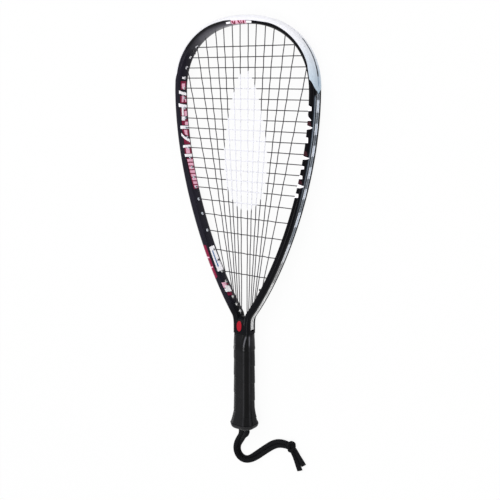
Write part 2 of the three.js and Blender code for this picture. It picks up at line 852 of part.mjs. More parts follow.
// Bend of the lanyard inside the cap, with its legs in the two holes
function makeLanyardBight() {
  const points = [new THREE.Vector3(-cord_hole_half_spacing, 0, 0)];
  const bend = cord_hole_half_spacing;
  const start = cap_plate + gap;
  for (let i = 0; i <= bight_steps; i += 1) {
    const angle = Math.PI * i / bight_steps;
    points.push(new THREE.Vector3(-bend * Math.cos(angle), start + bend * Math.sin(angle), 0));
  }
  points.push(new THREE.Vector3(cord_hole_half_spacing, 0, 0));
  return tube(points, cord_radius, cord_sides);
}

// Free cords lie on the surface, so they are built in the level frame. A cord starts and ends
// straight for one diameter.
function pointsOf(route) {
  return route.map((point) => new THREE.Vector3(...point));
}

// Middle line of the two strands between its straight ends
const cord_stub = 2 * cord_radius;
const [route_start, ...route_rest] = pointsOf(lanyard_route);
const route_end = route_rest.pop();
const knot_entry = route_end.clone().sub(route_rest[route_rest.length - 1]).setZ(0).normalize();
const strand_middle = new THREE.CatmullRomCurve3([
  new THREE.Vector3(0, -cord_stub, 0).add(route_start),
  ...route_rest,
  route_end.clone().addScaledVector(knot_entry, -cord_stub),
]);

function strandPoints(side) {
  const points = [new THREE.Vector3(side * cord_hole_half_spacing, 0, 0).add(route_start)];
  for (let i = 0; i <= cord_steps; i += 1) {
    const share = i / cord_steps;
    const heading = strand_middle.getTangentAt(share);
    if (i === 0) heading.set(0, -1, 0);
    if (i === cord_steps) heading.copy(knot_entry);
    const across = new THREE.Vector3(-heading.y, heading.x, 0).normalize();
    const join = THREE.MathUtils.smoothstep(share, 0, cord_join_share);
    const apart = THREE.MathUtils.lerp(cord_hole_half_spacing, cord_side_by_side, join);
    points.push(strand_middle.getPointAt(share).addScaledVector(across, side * apart));
  }
  points.push(points[cord_steps + 1].clone().addScaledVector(knot_entry, cord_stub));
  return points;
}

function makeStrand(side) {
  return tube(strandPoints(side), cord_radius, cord_sides);
}

// Knot: a flattened roll that turns the two strands into the two tails
const knot_turn = THREE.MathUtils.degToRad(knot_turn_degrees);
const knot_bulge_shares = [0, 0.7, 1, 0.35, 0.9, 1, 0.7, 0];

// Place and heading at a share of the way through the knot
function insideKnot(share) {
  const up = new THREE.Vector3(0, 0, 1);
  const heading = knot_entry.clone().applyAxisAngle(up, -knot_turn * share);
  const chord = knot_entry.clone().applyAxisAngle(up, -knot_turn * share / 2);
  const point = route_end.clone().setZ(knot_half_width * knot_flatness_share);
  point.addScaledVector(knot_entry, gap).addScaledVector(chord, knot_length * share);
  return { point, heading, across: new THREE.Vector3(-heading.y, heading.x, 0) };
}

function makeLanyardKnot() {
  const last = knot_bulge_shares.length - 1;
  const outline = [];
  for (let k = 0; k < knot_sides; k += 1) {
    const angle = 2 * Math.PI * k / knot_sides;
    outline.push(new THREE.Vector2(Math.cos(angle), Math.sin(angle)));
  }
  const rings = knot_bulge_shares.map((bulge_share, i) => {
    const { point, across } = insideKnot(i / last);
    const radius = THREE.MathUtils.lerp(knot_waist, knot_half_width, bulge_share);
    return outline.map(({ x, y }) => {
      const place_on_ring = point.clone().addScaledVector(across, radius * x);
      return place_on_ring.setZ(point.z + radius * knot_flatness_share * y);
    });
  });
  return skin(rings, outline);
}

function makeTail(route, side) {
  const { point, heading, across } = insideKnot(1);
  point.addScaledVector(across, side * cord_side_by_side).addScaledVector(heading, gap);
  const start = point.clone();
  const stub = point.clone().addScaledVector(heading, cord_stub);
  const curve = new THREE.CatmullRomCurve3([stub, ...pointsOf(route)]);
  return tube([start, ...curve.getPoints(tail_steps)], cord_radius, cord_sides);
}

function piece(name, geometry, material) {
  const part = new THREE.Mesh(geometry, material);
  part.name = name;
  return part;
}

// The racket leans about its x axis until its heel and the tip of its rim touch the surface
const tip_contact = tip_height + rim_half_width * rim_flat_share;
const lean = Math.atan2(heel_half_depth - rim_half_depth, tip_contact - heel_height);
const racket = new THREE.Group();
racket.rotation.x = -lean;
const bumper_start = bumper_reach + gap;
const lineHeight = (s) => place(s, 0, 0).y;
const strip_split = seek(0, hoop_reach, lineHeight, bottom_of_v + strip_split_above_v);
const strip_bottom = seek(0, hoop_reach, lineHeight, bottom_of_v - strip_bottom_below_v);
const bumper = sweep(-bumper_reach, bumper_reach, bumperSection);
racket.add(
  piece('frame', makeFrame(), carbon),
  piece('bumper_guard', withBarrels(bumper, -bumper_reach, bumper_reach), guard),
  piece('left_side_grommets', makeStrip(-strip_split + gap, -bumper_start), grommet),
  piece('right_side_grommets', makeStrip(bumper_start, strip_split - gap), grommet),
  piece('left_throat_grommets', makeStrip(-strip_bottom, -strip_split), grommet),
  piece('right_throat_grommets', makeStrip(strip_split, strip_bottom), grommet),
  piece('main_string', makeMainString(), string),
  piece('cross_string', makeCrossString(), string),
  piece('left_main_knot', makeKnot(-main_tie), string),
  piece('right_main_knot', makeKnot(main_tie), string),
  piece('upper_cross_knot', makeKnot(-upper_cross_tie), string),
  piece('lower_cross_knot', makeKnot(-lower_cross_tie), string),
  piece('handle_core', makeHandleCore(), foam),
  piece('butt_cap', makeButtCap(), rubber),
  piece('grip_wrap', makeGripWrap(), leather),
  piece('grip_collar', makeGripCollar(), rubber),
  piece('lanyard_bight', makeLanyardBight(), cord),
);
racket.updateMatrixWorld(true);
const box = new THREE.Box3().setFromObject(racket, true);
racket.position.set(0, -(box.min.y + box.max.y) / 2, -box.min.z);

const model = new THREE.Group();
model.add(
  racket,
  piece('left_lanyard_strand', makeStrand(-1), cord),
  piece('right_lanyard_strand', makeStrand(1), cord),
  piece('lanyard_knot', makeLanyardKnot(), cord),
  piece('left_lanyard_tail', makeTail(left_tail_route, -1), cord),
  piece('right_lanyard_tail', makeTail(right_tail_route, 1), cord),
);

export default model;
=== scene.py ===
"""Looks of a racquetball racket that lies on a pale floor: hoop, guard, strings, grip and cord.

Every shape is written in millimetres, either in the racket's own frame (x across the head, y from
the butt to the tip, z out of the strings) or, for the free cord, in the level frame.
"""

import math

import bmesh
import bpy
from mathutils import Matrix, Quaternion, Vector


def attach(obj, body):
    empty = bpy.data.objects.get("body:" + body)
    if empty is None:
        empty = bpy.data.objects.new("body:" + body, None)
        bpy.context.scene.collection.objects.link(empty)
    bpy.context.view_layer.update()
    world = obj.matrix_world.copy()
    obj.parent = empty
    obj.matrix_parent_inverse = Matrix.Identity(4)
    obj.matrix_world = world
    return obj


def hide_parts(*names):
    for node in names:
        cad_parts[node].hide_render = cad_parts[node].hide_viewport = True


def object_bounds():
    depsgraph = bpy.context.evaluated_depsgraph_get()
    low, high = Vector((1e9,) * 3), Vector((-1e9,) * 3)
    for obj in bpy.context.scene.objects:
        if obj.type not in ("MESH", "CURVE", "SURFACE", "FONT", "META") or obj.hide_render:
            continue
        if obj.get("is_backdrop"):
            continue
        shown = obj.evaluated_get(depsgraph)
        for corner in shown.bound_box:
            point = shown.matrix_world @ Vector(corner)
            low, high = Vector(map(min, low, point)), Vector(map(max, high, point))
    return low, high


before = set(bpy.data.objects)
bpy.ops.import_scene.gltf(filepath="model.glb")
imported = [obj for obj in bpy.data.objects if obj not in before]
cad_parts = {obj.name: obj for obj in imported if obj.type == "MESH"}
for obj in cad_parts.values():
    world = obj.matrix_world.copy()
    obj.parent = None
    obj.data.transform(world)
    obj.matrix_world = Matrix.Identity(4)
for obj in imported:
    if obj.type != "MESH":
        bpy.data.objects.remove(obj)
cad_low, cad_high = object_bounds()

scene = bpy.context.scene
TAU = 2 * math.pi
MM = 0.001

# The racket leans until its heel and the tip of its rim touch the floor
LEAN = 0.01315303
BUTT = Vector((0, -0.27944008, 0.01689063))
RACKET = Matrix.Translation(BUTT) @ Matrix.Rotation(-LEAN, 4, "X") @ Matrix.Scale(MM, 4)
LEVEL = Matrix.Scale(MM, 4)

# Sizes in millimetres, the same as the solids'. The mains are counted on one side of the middle
RACKET_LENGTH = 559
HANDLE_LENGTH = 137.5
HALF_WIDTH = 109.3
WIDEST = RACKET_LENGTH - 98.7
HEAD_EXPONENT = 2.23
SIDE_PULL = 0.3752
ARM_PULL = 0.2745
ARM_ANGLE = math.radians(36.1)
ARM_FOOT = Vector((12.5, HANDLE_LENGTH + 27.8))
FOOT_PULL = 5
LEG_X = 8.7
LEG_BEND = HANDLE_LENGTH + 10.6
LEG_PULL = 8
RIM_W = 5.13
RIM_D = 9.6
RIM_FACE = 5.08
CHANNEL_W = 3.27
CHANNEL_FLOOR = RIM_FACE - 3.2
BOTTOM_OF_V = HANDLE_LENGTH + 23
HEAD_LENGTH = RACKET_LENGTH - BOTTOM_OF_V
GUARD_TOP = RIM_FACE + 1.5
TIP = RACKET_LENGTH - GUARD_TOP
STRIP_TOP = CHANNEL_FLOOR + 1.2
STRIP_W = 2.95
STRING_R = 0.65
MOUTH = -(RIM_W + 0.7 + 0.8)
RUN = STRIP_TOP + STRING_R + 0.05
CROSS_COUNT = 20
FIRST_CROSS = RACKET_LENGTH - 39.1
LAST_CROSS = BOTTOM_OF_V + 58.5
PITCH_GROWTH = 0.2298
PLAIN_PITCHES = 14
MAIN_COUNT = 7
MAIN_TOPS = [0.06, 0.178, 0.309, 0.432, 0.586]
SHARED_CROSSES = [0, 2]
PAIR_HEIGHTS = [0.0175, 0.0394, 0.0635]
OUTER_MAIN = 0.1136
MAIN_TIE = 0.1004
PAIR_SPREAD = 2.1
PAIR_PAD = 0.15
GUARD_END = RACKET_LENGTH - 101
STRIP_SPLIT = BOTTOM_OF_V + 58.7
STRIP_BOTTOM = BOTTOM_OF_V - 16.9
CORD_R = 2.6
CORD_HOLE_X = 5.6
CORD_BESIDE = 3.0


# Camera, from the photograph: its axes are written in the racket's frame
CAMERA_AXES = Matrix((
    (0.79632, -0.11931, 0.59299),
    (0.00069, 0.98053, 0.19636),
    (-0.60488, -0.15596, 0.78090),
))
CAMERA_PLACE = Vector((684.79, 477.52, 889.07))
camera_data = bpy.data.cameras.new("camera")
camera_data.sensor_width = 36
camera_data.lens = 61.2
camera_data.clip_start = 0.05
camera_data.clip_end = 50
camera = bpy.data.objects.new("camera", camera_data)
scene.collection.objects.link(camera)
turned = Matrix.Rotation(-LEAN, 3, "X") @ CAMERA_AXES
camera.matrix_world = Matrix.Translation(RACKET @ CAMERA_PLACE) @ turned.to_4x4()
scene.camera = camera


# Making of meshes
WELD = 2e-6


def add_mesh(name, shape, material, stands_for=(), sharp=None, weld=False, matrix=RACKET):
    """A piece of the racket from its points, its faces and, if it has them, the uvs of its points."""
    verts, faces, *maps = shape
    mesh = bpy.data.meshes.new(name)
    mesh.from_pydata([matrix @ Vector(v) for v in verts], [], faces)
    for uvs in maps:
        layer = mesh.uv_layers.new(name="UVMap")
        for loop in mesh.loops:
            layer.data[loop.index].uv = uvs[loop.vertex_index]
    mesh.validate()
    work = bmesh.new()
    work.from_mesh(mesh)
    if weld:
        bmesh.ops.remove_doubles(work, verts=work.verts, dist=WELD)
    bmesh.ops.recalc_face_normals(work, faces=work.faces)
    work.to_mesh(mesh)
    work.free()
    mesh.shade_smooth()
    if sharp is not None:
        mesh.set_sharp_from_angle(angle=math.radians(sharp))
    obj = bpy.data.objects.new(name, mesh)
    scene.collection.objects.link(obj)
    mesh.materials.append(material)
    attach(obj, "root")
    if stands_for:
        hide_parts(*stands_for)
    return obj


def ring_faces(rows, count, closed_rows=False):
    """Quads between rings of count points; the first and the last ring are capped."""
    faces = []
    for r in range(rows if closed_rows else rows - 1):
        a, b = r * count, (r + 1) % rows * count
        for i in range(count):
            j = (i + 1) % count
            faces.append((a + i, a + j, b + j, b + i))
    if not closed_rows:
        faces.append(tuple(range(count - 1, -1, -1)))
        faces.append(tuple(range((rows - 1) * count, rows * count)))
    return faces


def grid_faces(cols, rows):
    """Quads of an open grid of points."""
    return [(k, k + 1, k + cols + 1, k + cols) for j in range(rows - 1)
            for k in range(j * cols, (j + 1) * cols - 1)]


def joined(shapes):
    """One shape from several."""
    verts, faces, uvs = [], [], []
    for points, quads, maps in shapes:
        faces += [tuple(len(verts) + i for i in quad) for quad in quads]
        verts += points
        uvs += maps
    return verts, faces, uvs


def lengths_along(points):
    out = [0.0]
    for a, b in zip(points, points[1:]):
        out.append(out[-1] + (b - a).length)
    return out


def spaced(points, count):
    """The line again, with count points evenly along it."""
    along = lengths_along(points)
    out, k = [], 0
    for i in range(count):
        want = along[-1] * i / (count - 1)
        while k < len(points) - 2 and along[k + 1] < want:
            k += 1
        part = (want - along[k]) / max(along[k + 1] - along[k], 1e-9)
        out.append(points[k].lerp(points[k + 1], part))
    return out


def resample(points, step):
    """The line again, with points about step apart."""
    return spaced(points, max(2, math.ceil(lengths_along(points)[-1] / step) + 1))


def curve_through(points, per_piece=12):
    """Centripetal curve through every point."""
    pts = [2 * points[0] - points[1]] + list(points) + [2 * points[-1] - points[-2]]
    out = []
    for i in range(1, len(pts) - 2):
        p0, p1, p2, p3 = pts[i - 1:i + 3]
        t1 = math.sqrt((p1 - p0).length)
        t2 = t1 + math.sqrt((p2 - p1).length)
        t3 = t2 + math.sqrt((p3 - p2).length)
        for k in range(per_piece):
            t = t1 + (t2 - t1) * k / per_piece
            a1 = p0.lerp(p1, t / t1)
            a2 = p1.lerp(p2, (t - t1) / (t2 - t1))
            a3 = p2.lerp(p3, (t - t2) / (t3 - t2))
            b1 = a1.lerp(a2, t / t2)
            b2 = a2.lerp(a3, (t - t1) / (t3 - t1))
            out.append(b1.lerp(b2, (t - t1) / (t2 - t1)))
    out.append(points[-1].copy())
    return out


def arc(a, b, c, t):
    """Point of the curve from a to c that bends towards b."""
    return a.lerp(b, t).lerp(b.lerp(c, t), t)


def rounded(points, radius, steps):
    """The same line with its corners cut to arcs."""
    out = [points[0]]
    for before, at, after in zip(points, points[1:], points[2:]):
        into, away = at - before, after - at
        angle = into.angle(away, 0)
        if angle < 0.15:
            out.append(at)
            continue
        cut = min(radius * math.tan(angle / 2), into.length * 0.48, away.length * 0.48)
        start = at - into.normalized() * cut
        end = at + away.normalized() * cut
        for k in range(steps + 1):
            out.append(arc(start, at, end, k / steps))
    out.append(points[-1])
    return out


def tube_mesh(points, radius, sides, bulge=None):
    """Rings round a line, its faces, and the uv of each point: metres along and share round."""
    heading = (points[1] - points[0]).normalized()
    side = Vector((0, 0, 1)) - heading * heading.z
    if side.length < 0.1:
        side = Vector((1, 0, 0)) - heading * heading.x
    side.normalize()
    verts, uvs, walked = [], [], 0.0
    for i, point in enumerate(points):
        if i:
            walked += (point - points[i - 1]).length
        before = points[max(i - 1, 0)]
        after = points[min(i + 1, len(points) - 1)]
        facing = (after - before).normalized()
        side = side - facing * side.dot(facing)
        side.normalize()
        up = facing.cross(side)
        for k in range(sides):
            angle = TAU * k / sides
            r = radius if bulge is None else radius + bulge(walked, angle)
            verts.append(point + (side * math.cos(angle) + up * math.sin(angle)) * r)
            uvs.append((walked * MM, k / sides))
    return verts, ring_faces(len(points), sides), uvs


# Hoop line
def bezier(a, b, c, d, count):
    out = []
    for i in range(1, count + 1):
        t = i / count
        out.append(arc(a.lerp(b, t), b.lerp(c, t), c.lerp(d, t), t))
    return out


def hoop_line():
    arm = Vector((math.sin(ARM_ANGLE), math.cos(ARM_ANGLE)))
    power = 2 / HEAD_EXPONENT
    points = []
    for i in range(241):
        angle = math.pi / 2 * i / 240
        across, along = math.sin(angle) ** power, abs(math.cos(angle)) ** power
        points.append(Vector((HALF_WIDTH * across, WIDEST + (TIP - WIDEST) * along)))
    tall = WIDEST - ARM_FOOT.y
    widest, leg = points[-1], Vector((LEG_X, LEG_BEND))
    points += bezier(widest, widest - Vector((0, tall * SIDE_PULL)),
                     ARM_FOOT + arm * tall * ARM_PULL, ARM_FOOT, 240)
    points += bezier(ARM_FOOT, ARM_FOOT - arm * FOOT_PULL, leg + Vector((0, LEG_PULL)), leg, 24)
    points.append(Vector((LEG_X, HANDLE_LENGTH)))
    return resample(points, 1.0)


RIGHT_LINE = hoop_line()
REACH = lengths_along(RIGHT_LINE)[-1]
LINE_STEP = REACH / (len(RIGHT_LINE) - 1)


def line_at(s):
    """Point of the hoop line at a signed distance s from the tip."""
    at = min(abs(s) / LINE_STEP, len(RIGHT_LINE) - 1.000001)
    k = int(at)
    point = RIGHT_LINE[k].lerp(RIGHT_LINE[k + 1], at - k)
    return Vector((math.copysign(point.x, s), point.y))


def out_of(s):
    """Outward normal of the hoop line."""
    low, high = max(s - 1.5, -REACH), min(s + 1.5, REACH)
    step = line_at(high) - line_at(low)
    return Vector((-step.y, step.x)).normalized()


def place(s, u, w, v=0.0):
    """Point beside the hoop line: u outward from it, w out of the strings and v along the rim."""
    point, normal = line_at(s), out_of(s)
    return Vector((point.x + normal.x * u + normal.y * v, point.y + normal.y * u - normal.x * v, w))


def mouth(s, w=0.0):
    """Point on the rim's inside where a string comes out."""
    return place(s, MOUTH, w)


def seek(low, high, value, wanted):
    """Where a value that falls from low to high is the wanted one."""
    for _ in range(40):
        middle = (low + high) / 2
        if value(middle) > wanted:
            low = middle
        else:
            high = middle
    return (low + high) / 2


def at_height(height, u=0.0):
    return seek(0, REACH, lambda s: place(s, u, 0).y, height)


def ease(value, low, high):
    t = min(max((value - low) / (high - low), 0), 1)
    return t * t * (3 - 2 * t)


def steps_between(low, high, step):
    count = max(1, math.ceil(abs(high - low) / step))
    return [low + (high - low) * i / count for i in range(count + 1)]


def sweep(s_values, section):
    """Rings of a section (u, w) along the hoop, with faces and uvs in metres."""
    verts, uvs, count = [], [], 0
    for s in s_values:
        ring = section(s)
        count = len(ring)
        around = 0.0
        for i, (u, w) in enumerate(ring):
            if i:
                around += math.hypot(u - ring[i - 1][0], w - ring[i - 1][1])
            verts.append(place(s, u, w))
            uvs.append((s * MM, around * MM))
    return verts, ring_faces(len(s_values), count), uvs


def mirror(half):
    """A closed section from its upper half."""
    return half + [(u, -w) for u, w in reversed(half) if w > 1e-6]


RIM_POWER = 2.9


def rim_half():
    half = [(CHANNEL_FLOOR, 0.0), (CHANNEL_FLOOR, 1.6), (CHANNEL_FLOOR, 2.8),
            (CHANNEL_FLOOR + 0.1, 3.1), (CHANNEL_FLOOR + 0.4, CHANNEL_W), (3.4, CHANNEL_W + 0.02),
            (4.6, CHANNEL_W + 0.05), (4.86, CHANNEL_W + 0.14), (4.98, CHANNEL_W + 0.34)]
    for i in range(17):
        angle = math.radians(31 + 59 * i / 16)
        half.append((RIM_W * math.cos(angle) ** (2 / RIM_POWER),
                     RIM_D * math.sin(angle) ** (2 / RIM_POWER)))
    for i in range(1, 19):
        angle = math.radians(90 - 90 * i / 18)
        half.append((-RIM_W * math.cos(angle) ** (2 / RIM_POWER),
                     RIM_D * math.sin(angle) ** (2 / RIM_POWER)))
    return half


RIM = mirror(rim_half())
FACE_POINT = 8


def round_length(points):
    """Length in metres of a line of section points."""
    return lengths_along([Vector(point) for point in points])[-1] * MM


CLOSED_RIM = []
for u, w in RIM:
    in_channel = abs(w) <= CHANNEL_W + 0.2 and u > 0
    CLOSED_RIM.append((max(u, RIM_FACE - 0.12), w) if in_channel else (u, w))
CHANNEL_ROUND = round_length(RIM[:FACE_POINT + 1])
RIM_ROUND = round_length(RIM)


# Holes of the strings
CROSS_SPAN = CROSS_COUNT - 1


def cross_drop(row):
    widening = max(row - PLAIN_PITCHES, 0)
    return row + PITCH_GROWTH * widening * (widening + 1) / 2


CROSS_PITCH = (FIRST_CROSS - LAST_CROSS) / cross_drop(CROSS_SPAN)
crosses = []
for row in range(CROSS_COUNT):
    height = FIRST_CROSS - cross_drop(row) * CROSS_PITCH
    crosses.append((height, at_height(height, MOUTH)))

mains = []
for i in range(MAIN_COUNT):
    shared = i >= len(MAIN_TOPS)
    if shared:
        top = crosses[SHARED_CROSSES[i - len(MAIN_TOPS)]][1]
    else:
        top = seek(0, crosses[0][1], lambda s: -mouth(s).x, -MAIN_TOPS[i] * HALF_WIDTH)
    paired = i < MAIN_COUNT - 1
    share = PAIR_HEIGHTS[i // 2] if paired else OUTER_MAIN
    foot = at_height(BOTTOM_OF_V + share * HEAD_LENGTH, MOUTH)
    if paired:
        foot += PAIR_SPREAD if i % 2 == 0 else -PAIR_SPREAD
    mains.append((top, foot, shared))
MAIN_TIE_S = at_height(BOTTOM_OF_V + MAIN_TIE * HEAD_LENGTH, MOUTH)
UPPER_TIE_S = (crosses[0][1] + crosses[1][1]) / 2
LOWER_TIE_S = (crosses[-2][1] + crosses[-1][1]) / 2

holes, pads = [], []
for side in (-1, 1):
    pads += [(side * s, 0) for _, s in crosses]
    pads += [(side * (mains[i][1] + mains[i + 1][1]) / 2, PAIR_PAD) for i in (0, 2, 4)]
    pads.append((side * mains[-1][1], 0))
    holes += [(side * s, row in SHARED_CROSSES, True) for row, (_, s) in enumerate(crosses)]
    holes += [(side * top, False, False) for top, _, shared in mains if not shared]
    holes += [(side * foot, False, False) for _, foot, _ in mains]
    holes.append((side * MAIN_TIE_S, False, False))
holes += [(-UPPER_TIE_S, False, False), (-LOWER_TIE_S, False, False)]


# Materials
def feed(socket, value):
    """Links another node's output, or sets a number, a vector or a colour."""
    if hasattr(value, "is_output"):
        socket.id_data.links.new(value, socket)
    elif socket.type == "RGBA":
        socket.default_value = (*value, 1)
    else:
        socket.default_value = value


def add_node(tree, kind, inputs, **settings):
    """Makes a node and gives its outputs."""
    node = tree.nodes.new("ShaderNode" + kind)
    for key, value in settings.items():
        setattr(node, key, value)
    for key, value in inputs.items():
        feed(node.inputs[key], value)
    return node.outputs


class Surface:
    """One material, with short calls for the nodes that feed its shader."""

    def __init__(self, name, color, roughness, **sockets):
        self.made = bpy.data.materials.new(name)
        self.made.use_nodes = True
        self.tree = self.made.node_tree
        self.inputs = self.tree.nodes["Principled BSDF"].inputs
        for key, value in {"Base_Color": color, "Roughness": roughness, **sockets}.items():
            feed(self.inputs[key.replace("_", " ")], value)

    def add(self, kind, inputs, **settings):
        return add_node(self.tree, kind, inputs, **settings)

    def place(self):
        return self.add("TexCoord", {})["Object"]

    def uv(self):
        return self.add("TexCoord", {})["UV"]

    def mapped(self, vector, scale=(1, 1, 1), turn=0.0):
        return self.add("Mapping", {"Vector": vector, "Scale": scale, "Rotation": (0, 0, turn)})["Vector"]

    def noise(self, vector, scale, detail, rough=0.55):
        inputs = {"Vector": vector, "Scale": scale, "Detail": detail, "Roughness": rough}
        return self.add("TexNoise", inputs)["Fac"]

    def cells(self, vector, scale):
        return self.add("TexVoronoi", {"Vector": vector, "Scale": scale})["Distance"]

    def wave(self, vector, scale):
        inputs = {"Vector": vector, "Scale": scale}
        return self.add("TexWave", inputs, wave_type="BANDS", bands_direction="X")["Fac"]

    def math(self, operation, *values):
        return self.add("Math", dict(enumerate(values)), operation=operation)[0]

    def times(self, a, b):
        return self.math("MULTIPLY", a, b)

    def times_plus(self, a, b, c):
        return self.math("MULTIPLY_ADD", a, b, c)

    def plus(self, a, b):
        return self.math("ADD", a, b)

    def minus(self, a, b):
        return self.math("SUBTRACT", a, b)

    def spread(self, value, low, high, to_low=0.0, to_high=1.0, kind="LINEAR"):
        inputs = dict(enumerate((value, low, high, to_low, to_high)))
        return self.add("MapRange", inputs, interpolation_type=kind)[0]

    def rise(self, value, low, high):
        """Eases from 0 at low to 1 at high."""
        return self.spread(value, low, high, kind="SMOOTHSTEP")

    def fall(self, value, low, high):
        """Eases from 1 at low to 0 at high."""
        return self.spread(value, low, high, 1, 0, "SMOOTHSTEP")

    def band(self, value, a, b, c, d):
        """Rises straight from a to b and falls from c to d."""
        return self.times(self.spread(value, a, b), self.spread(value, c, d, 1, 0))

    def mix(self, share, a, b):
        return self.add("Mix", {0: share, 6: a, 7: b}, data_type="RGBA")[2]

    def split(self, vector):
        return self.add("SeparateXYZ", {0: vector})

    def color(self, value):
        feed(self.inputs["Base Color"], value)

    def rough(self, value):
        feed(self.inputs["Roughness"], value)

    def rough_by(self, value, low, high):
        self.rough(self.spread(value, 0.3, 0.7, low, high))

    def grain(self, scale, detail, distance, strength):
        self.bump(self.noise(self.place(), scale, detail), distance, strength)

    def two_tones(self, worn, dull, light):
        """Dull low on the hoop and light high on it, each between two shades."""
        share = self.spread(worn, 0.35, 0.7)
        high = self.rise(self.split(self.place())[1], -0.055, 0.01)
        self.color(self.mix(high, self.mix(share, *dull), self.mix(share, *light)))

    def bump(self, height, distance, strength):
        inputs = {"Height": height, "Distance": distance, "Strength": strength}
        feed(self.inputs["Normal"], self.add("Bump", inputs)["Normal"])


BEVEL_START = 0.1625
BEVEL_FADE = (0.21, 0.345)
LEFT_REFLECTION_START = (-0.115, -0.09)
PAINTED_SHEEN_START = (-0.112, -0.062)


def carbon_material():
    """Gloss black composite; the weave shows on the arms, and a steel blue fade on the edges that
    flank the string channel below the guard, whose thin light line on the channel's edge is also a
    painted highlight. The rim's left side is a bluer black, and the wall inside its shoulder is greyer:
    both are a painted reflection, on the left side only. Its uv is metres along the hoop and round the
    section."""
    n = Surface("carbon", (0.0028, 0.0026, 0.004), 0.18, Specular_IOR_Level=0.045)
    here, uv = n.place(), n.uv()
    along, around, _ = n.split(uv)
    cloudy = n.noise(here, 35, 4)
    fine = n.noise(here, 900, 2)
    one = n.wave(n.mapped(uv, turn=math.radians(45)), 330)
    two = n.wave(n.mapped(uv, turn=math.radians(-45)), 330)
    weave = n.times(n.plus(one, two), 0.5)
    low_end = n.fall(n.split(here)[1], -0.03, 0.03)
    seen = n.times(weave, low_end)
    away = n.math("ABSOLUTE", along)
    fade = n.times(n.spread(away, BEVEL_START, BEVEL_START + 0.004), n.fall(away, *BEVEL_FADE))
    from_face = n.math("MINIMUM", around, n.minus(RIM_ROUND, around))
    past_face = n.minus(from_face, CHANNEL_ROUND)
    # Steel blue paint along the channel's edges; its thin light line also stands in for the edge's
    # highlight, as a painted highlight
    dim = n.band(past_face, 0.0012, 0.0016, 0.0042, 0.005)
    light = n.band(past_face, 0.0018, 0.0021, 0.003, 0.0035)
    black = n.mix(n.times(seen, 0.35), (0.0028, 0.0026, 0.004), (0.018, 0.0185, 0.022))
    # Bluer black on the rim's left side: a painted reflection of the surroundings, mottled with the weave
    left_painted_reflection = n.times(n.fall(along, *LEFT_REFLECTION_START), n.rise(n.split(here)[1], -0.115, -0.09))
    speckled = n.times_plus(weave, 0.7, n.spread(cloudy, 0.3, 0.7, 0.3, 0.7))
    black = n.mix(n.times(left_painted_reflection, speckled), black, (0.02, 0.0185, 0.0285))
    # Grey on the inner wall of the left shoulder: a painted sheen, a reflection only the left side gets
    inward = n.rise(past_face, 0.0085, 0.016)
    painted_sheen = n.times(n.rise(along, *PAINTED_SHEEN_START), n.fall(along, -0.02, 0.01))
    painted_sheen = n.times(n.times(painted_sheen, inward), n.spread(cloudy, 0.35, 0.65, 0.55, 1))
    black = n.mix(painted_sheen, black, (0.2, 0.195, 0.225))
    edged = n.mix(n.times(fade, dim), black, (0.026, 0.034, 0.05))
    n.color(n.mix(n.times(fade, light), edged, (0.24, 0.28, 0.33)))
    n.rough(n.spread(n.times_plus(cloudy, 0.8, seen), 0.2, 1.4, 0.1, 0.3))
    n.bump(n.times_plus(seen, 0.6, n.times(fine, 0.15)), 0.00006, 0.4)
    return n.made


def guard_material():
    """Pearly moulded nylon, near white; the steel blue on its right shoulder is painted shade."""
    n = Surface("guard", (0.7, 0.72, 0.82), 0.3, Specular_IOR_Level=0.4)
    here = n.place()
    across, along, _ = n.split(here)
    # Steel blue painted shade over the right shoulder only
    right_shoulder_shade = n.times(n.fall(along, 0.18, 0.262), n.spread(across, -0.06, 0.03))
    streaks = n.noise(n.mapped(here, (1, 0.3, 4)), 60, 5)
    scuffs = n.spread(n.noise(n.mapped(here, (0.6, 0.6, 3)), 420, 3), 0.62, 0.75)
    base = n.mix(right_shoulder_shade, (0.85, 0.845, 0.89), (0.38, 0.5, 0.61))
    base = n.mix(n.times(streaks, 0.25), base, (0.84, 0.87, 0.92))
    n.color(n.mix(n.times(scuffs, 0.5), base, (0.42, 0.44, 0.54)))
    n.rough_by(streaks, 0.26, 0.42)
    n.grain(1500, 2, 0.00004, 0.5)
    return n.made


def slot_shade_material():
    """Inside of the guard's string channel, darkened with blotchy painted shade."""
    n = Surface("guard_slot_painted_shade", (0.14, 0.16, 0.19), 0.6)
    # Dark blotchy painted shade for the slot's deep, narrow inside
    blotches = n.noise(n.mapped(n.place(), (1, 1, 3)), 160, 4)
    n.color(n.mix(n.spread(blotches, 0.35, 0.7), (0.08, 0.09, 0.105), (0.24, 0.27, 0.32)))
    n.grain(900, 3, 0.00005, 0.5)
    return n.made


def grommet_material():
    n = Surface("grommet_nylon", (0.62, 0.65, 0.7), 0.38)
    worn = n.noise(n.place(), 220, 4)
    n.two_tones(worn, ((0.64, 0.645, 0.65), (0.86, 0.86, 0.86)), ((0.62, 0.68, 0.77), (0.84, 0.88, 0.95)))
    n.rough_by(worn, 0.3, 0.5)
    n.grain(1800, 2, 0.00004, 0.5)
    return n.made


def strung_material():
    """The grommet strips' groove and flanges where a string runs over them, in a darker grey."""
    n = Surface("grommet_strung", (0.2, 0.23, 0.27), 0.45)
    blotches = n.noise(n.mapped(n.place(), (1, 1, 2)), 260, 4)
    n.two_tones(blotches, ((0.36, 0.365, 0.37), (0.62, 0.62, 0.62)), ((0.13, 0.15, 0.18), (0.36, 0.41, 0.47)))
    n.grain(1500, 2, 0.00004, 0.5)
    return n.made


STENCIL_MIDDLE = (0.002, 0.119)
STENCIL_HALF = (0.034, 0.0925)
STENCIL_NARROWING = 0.34


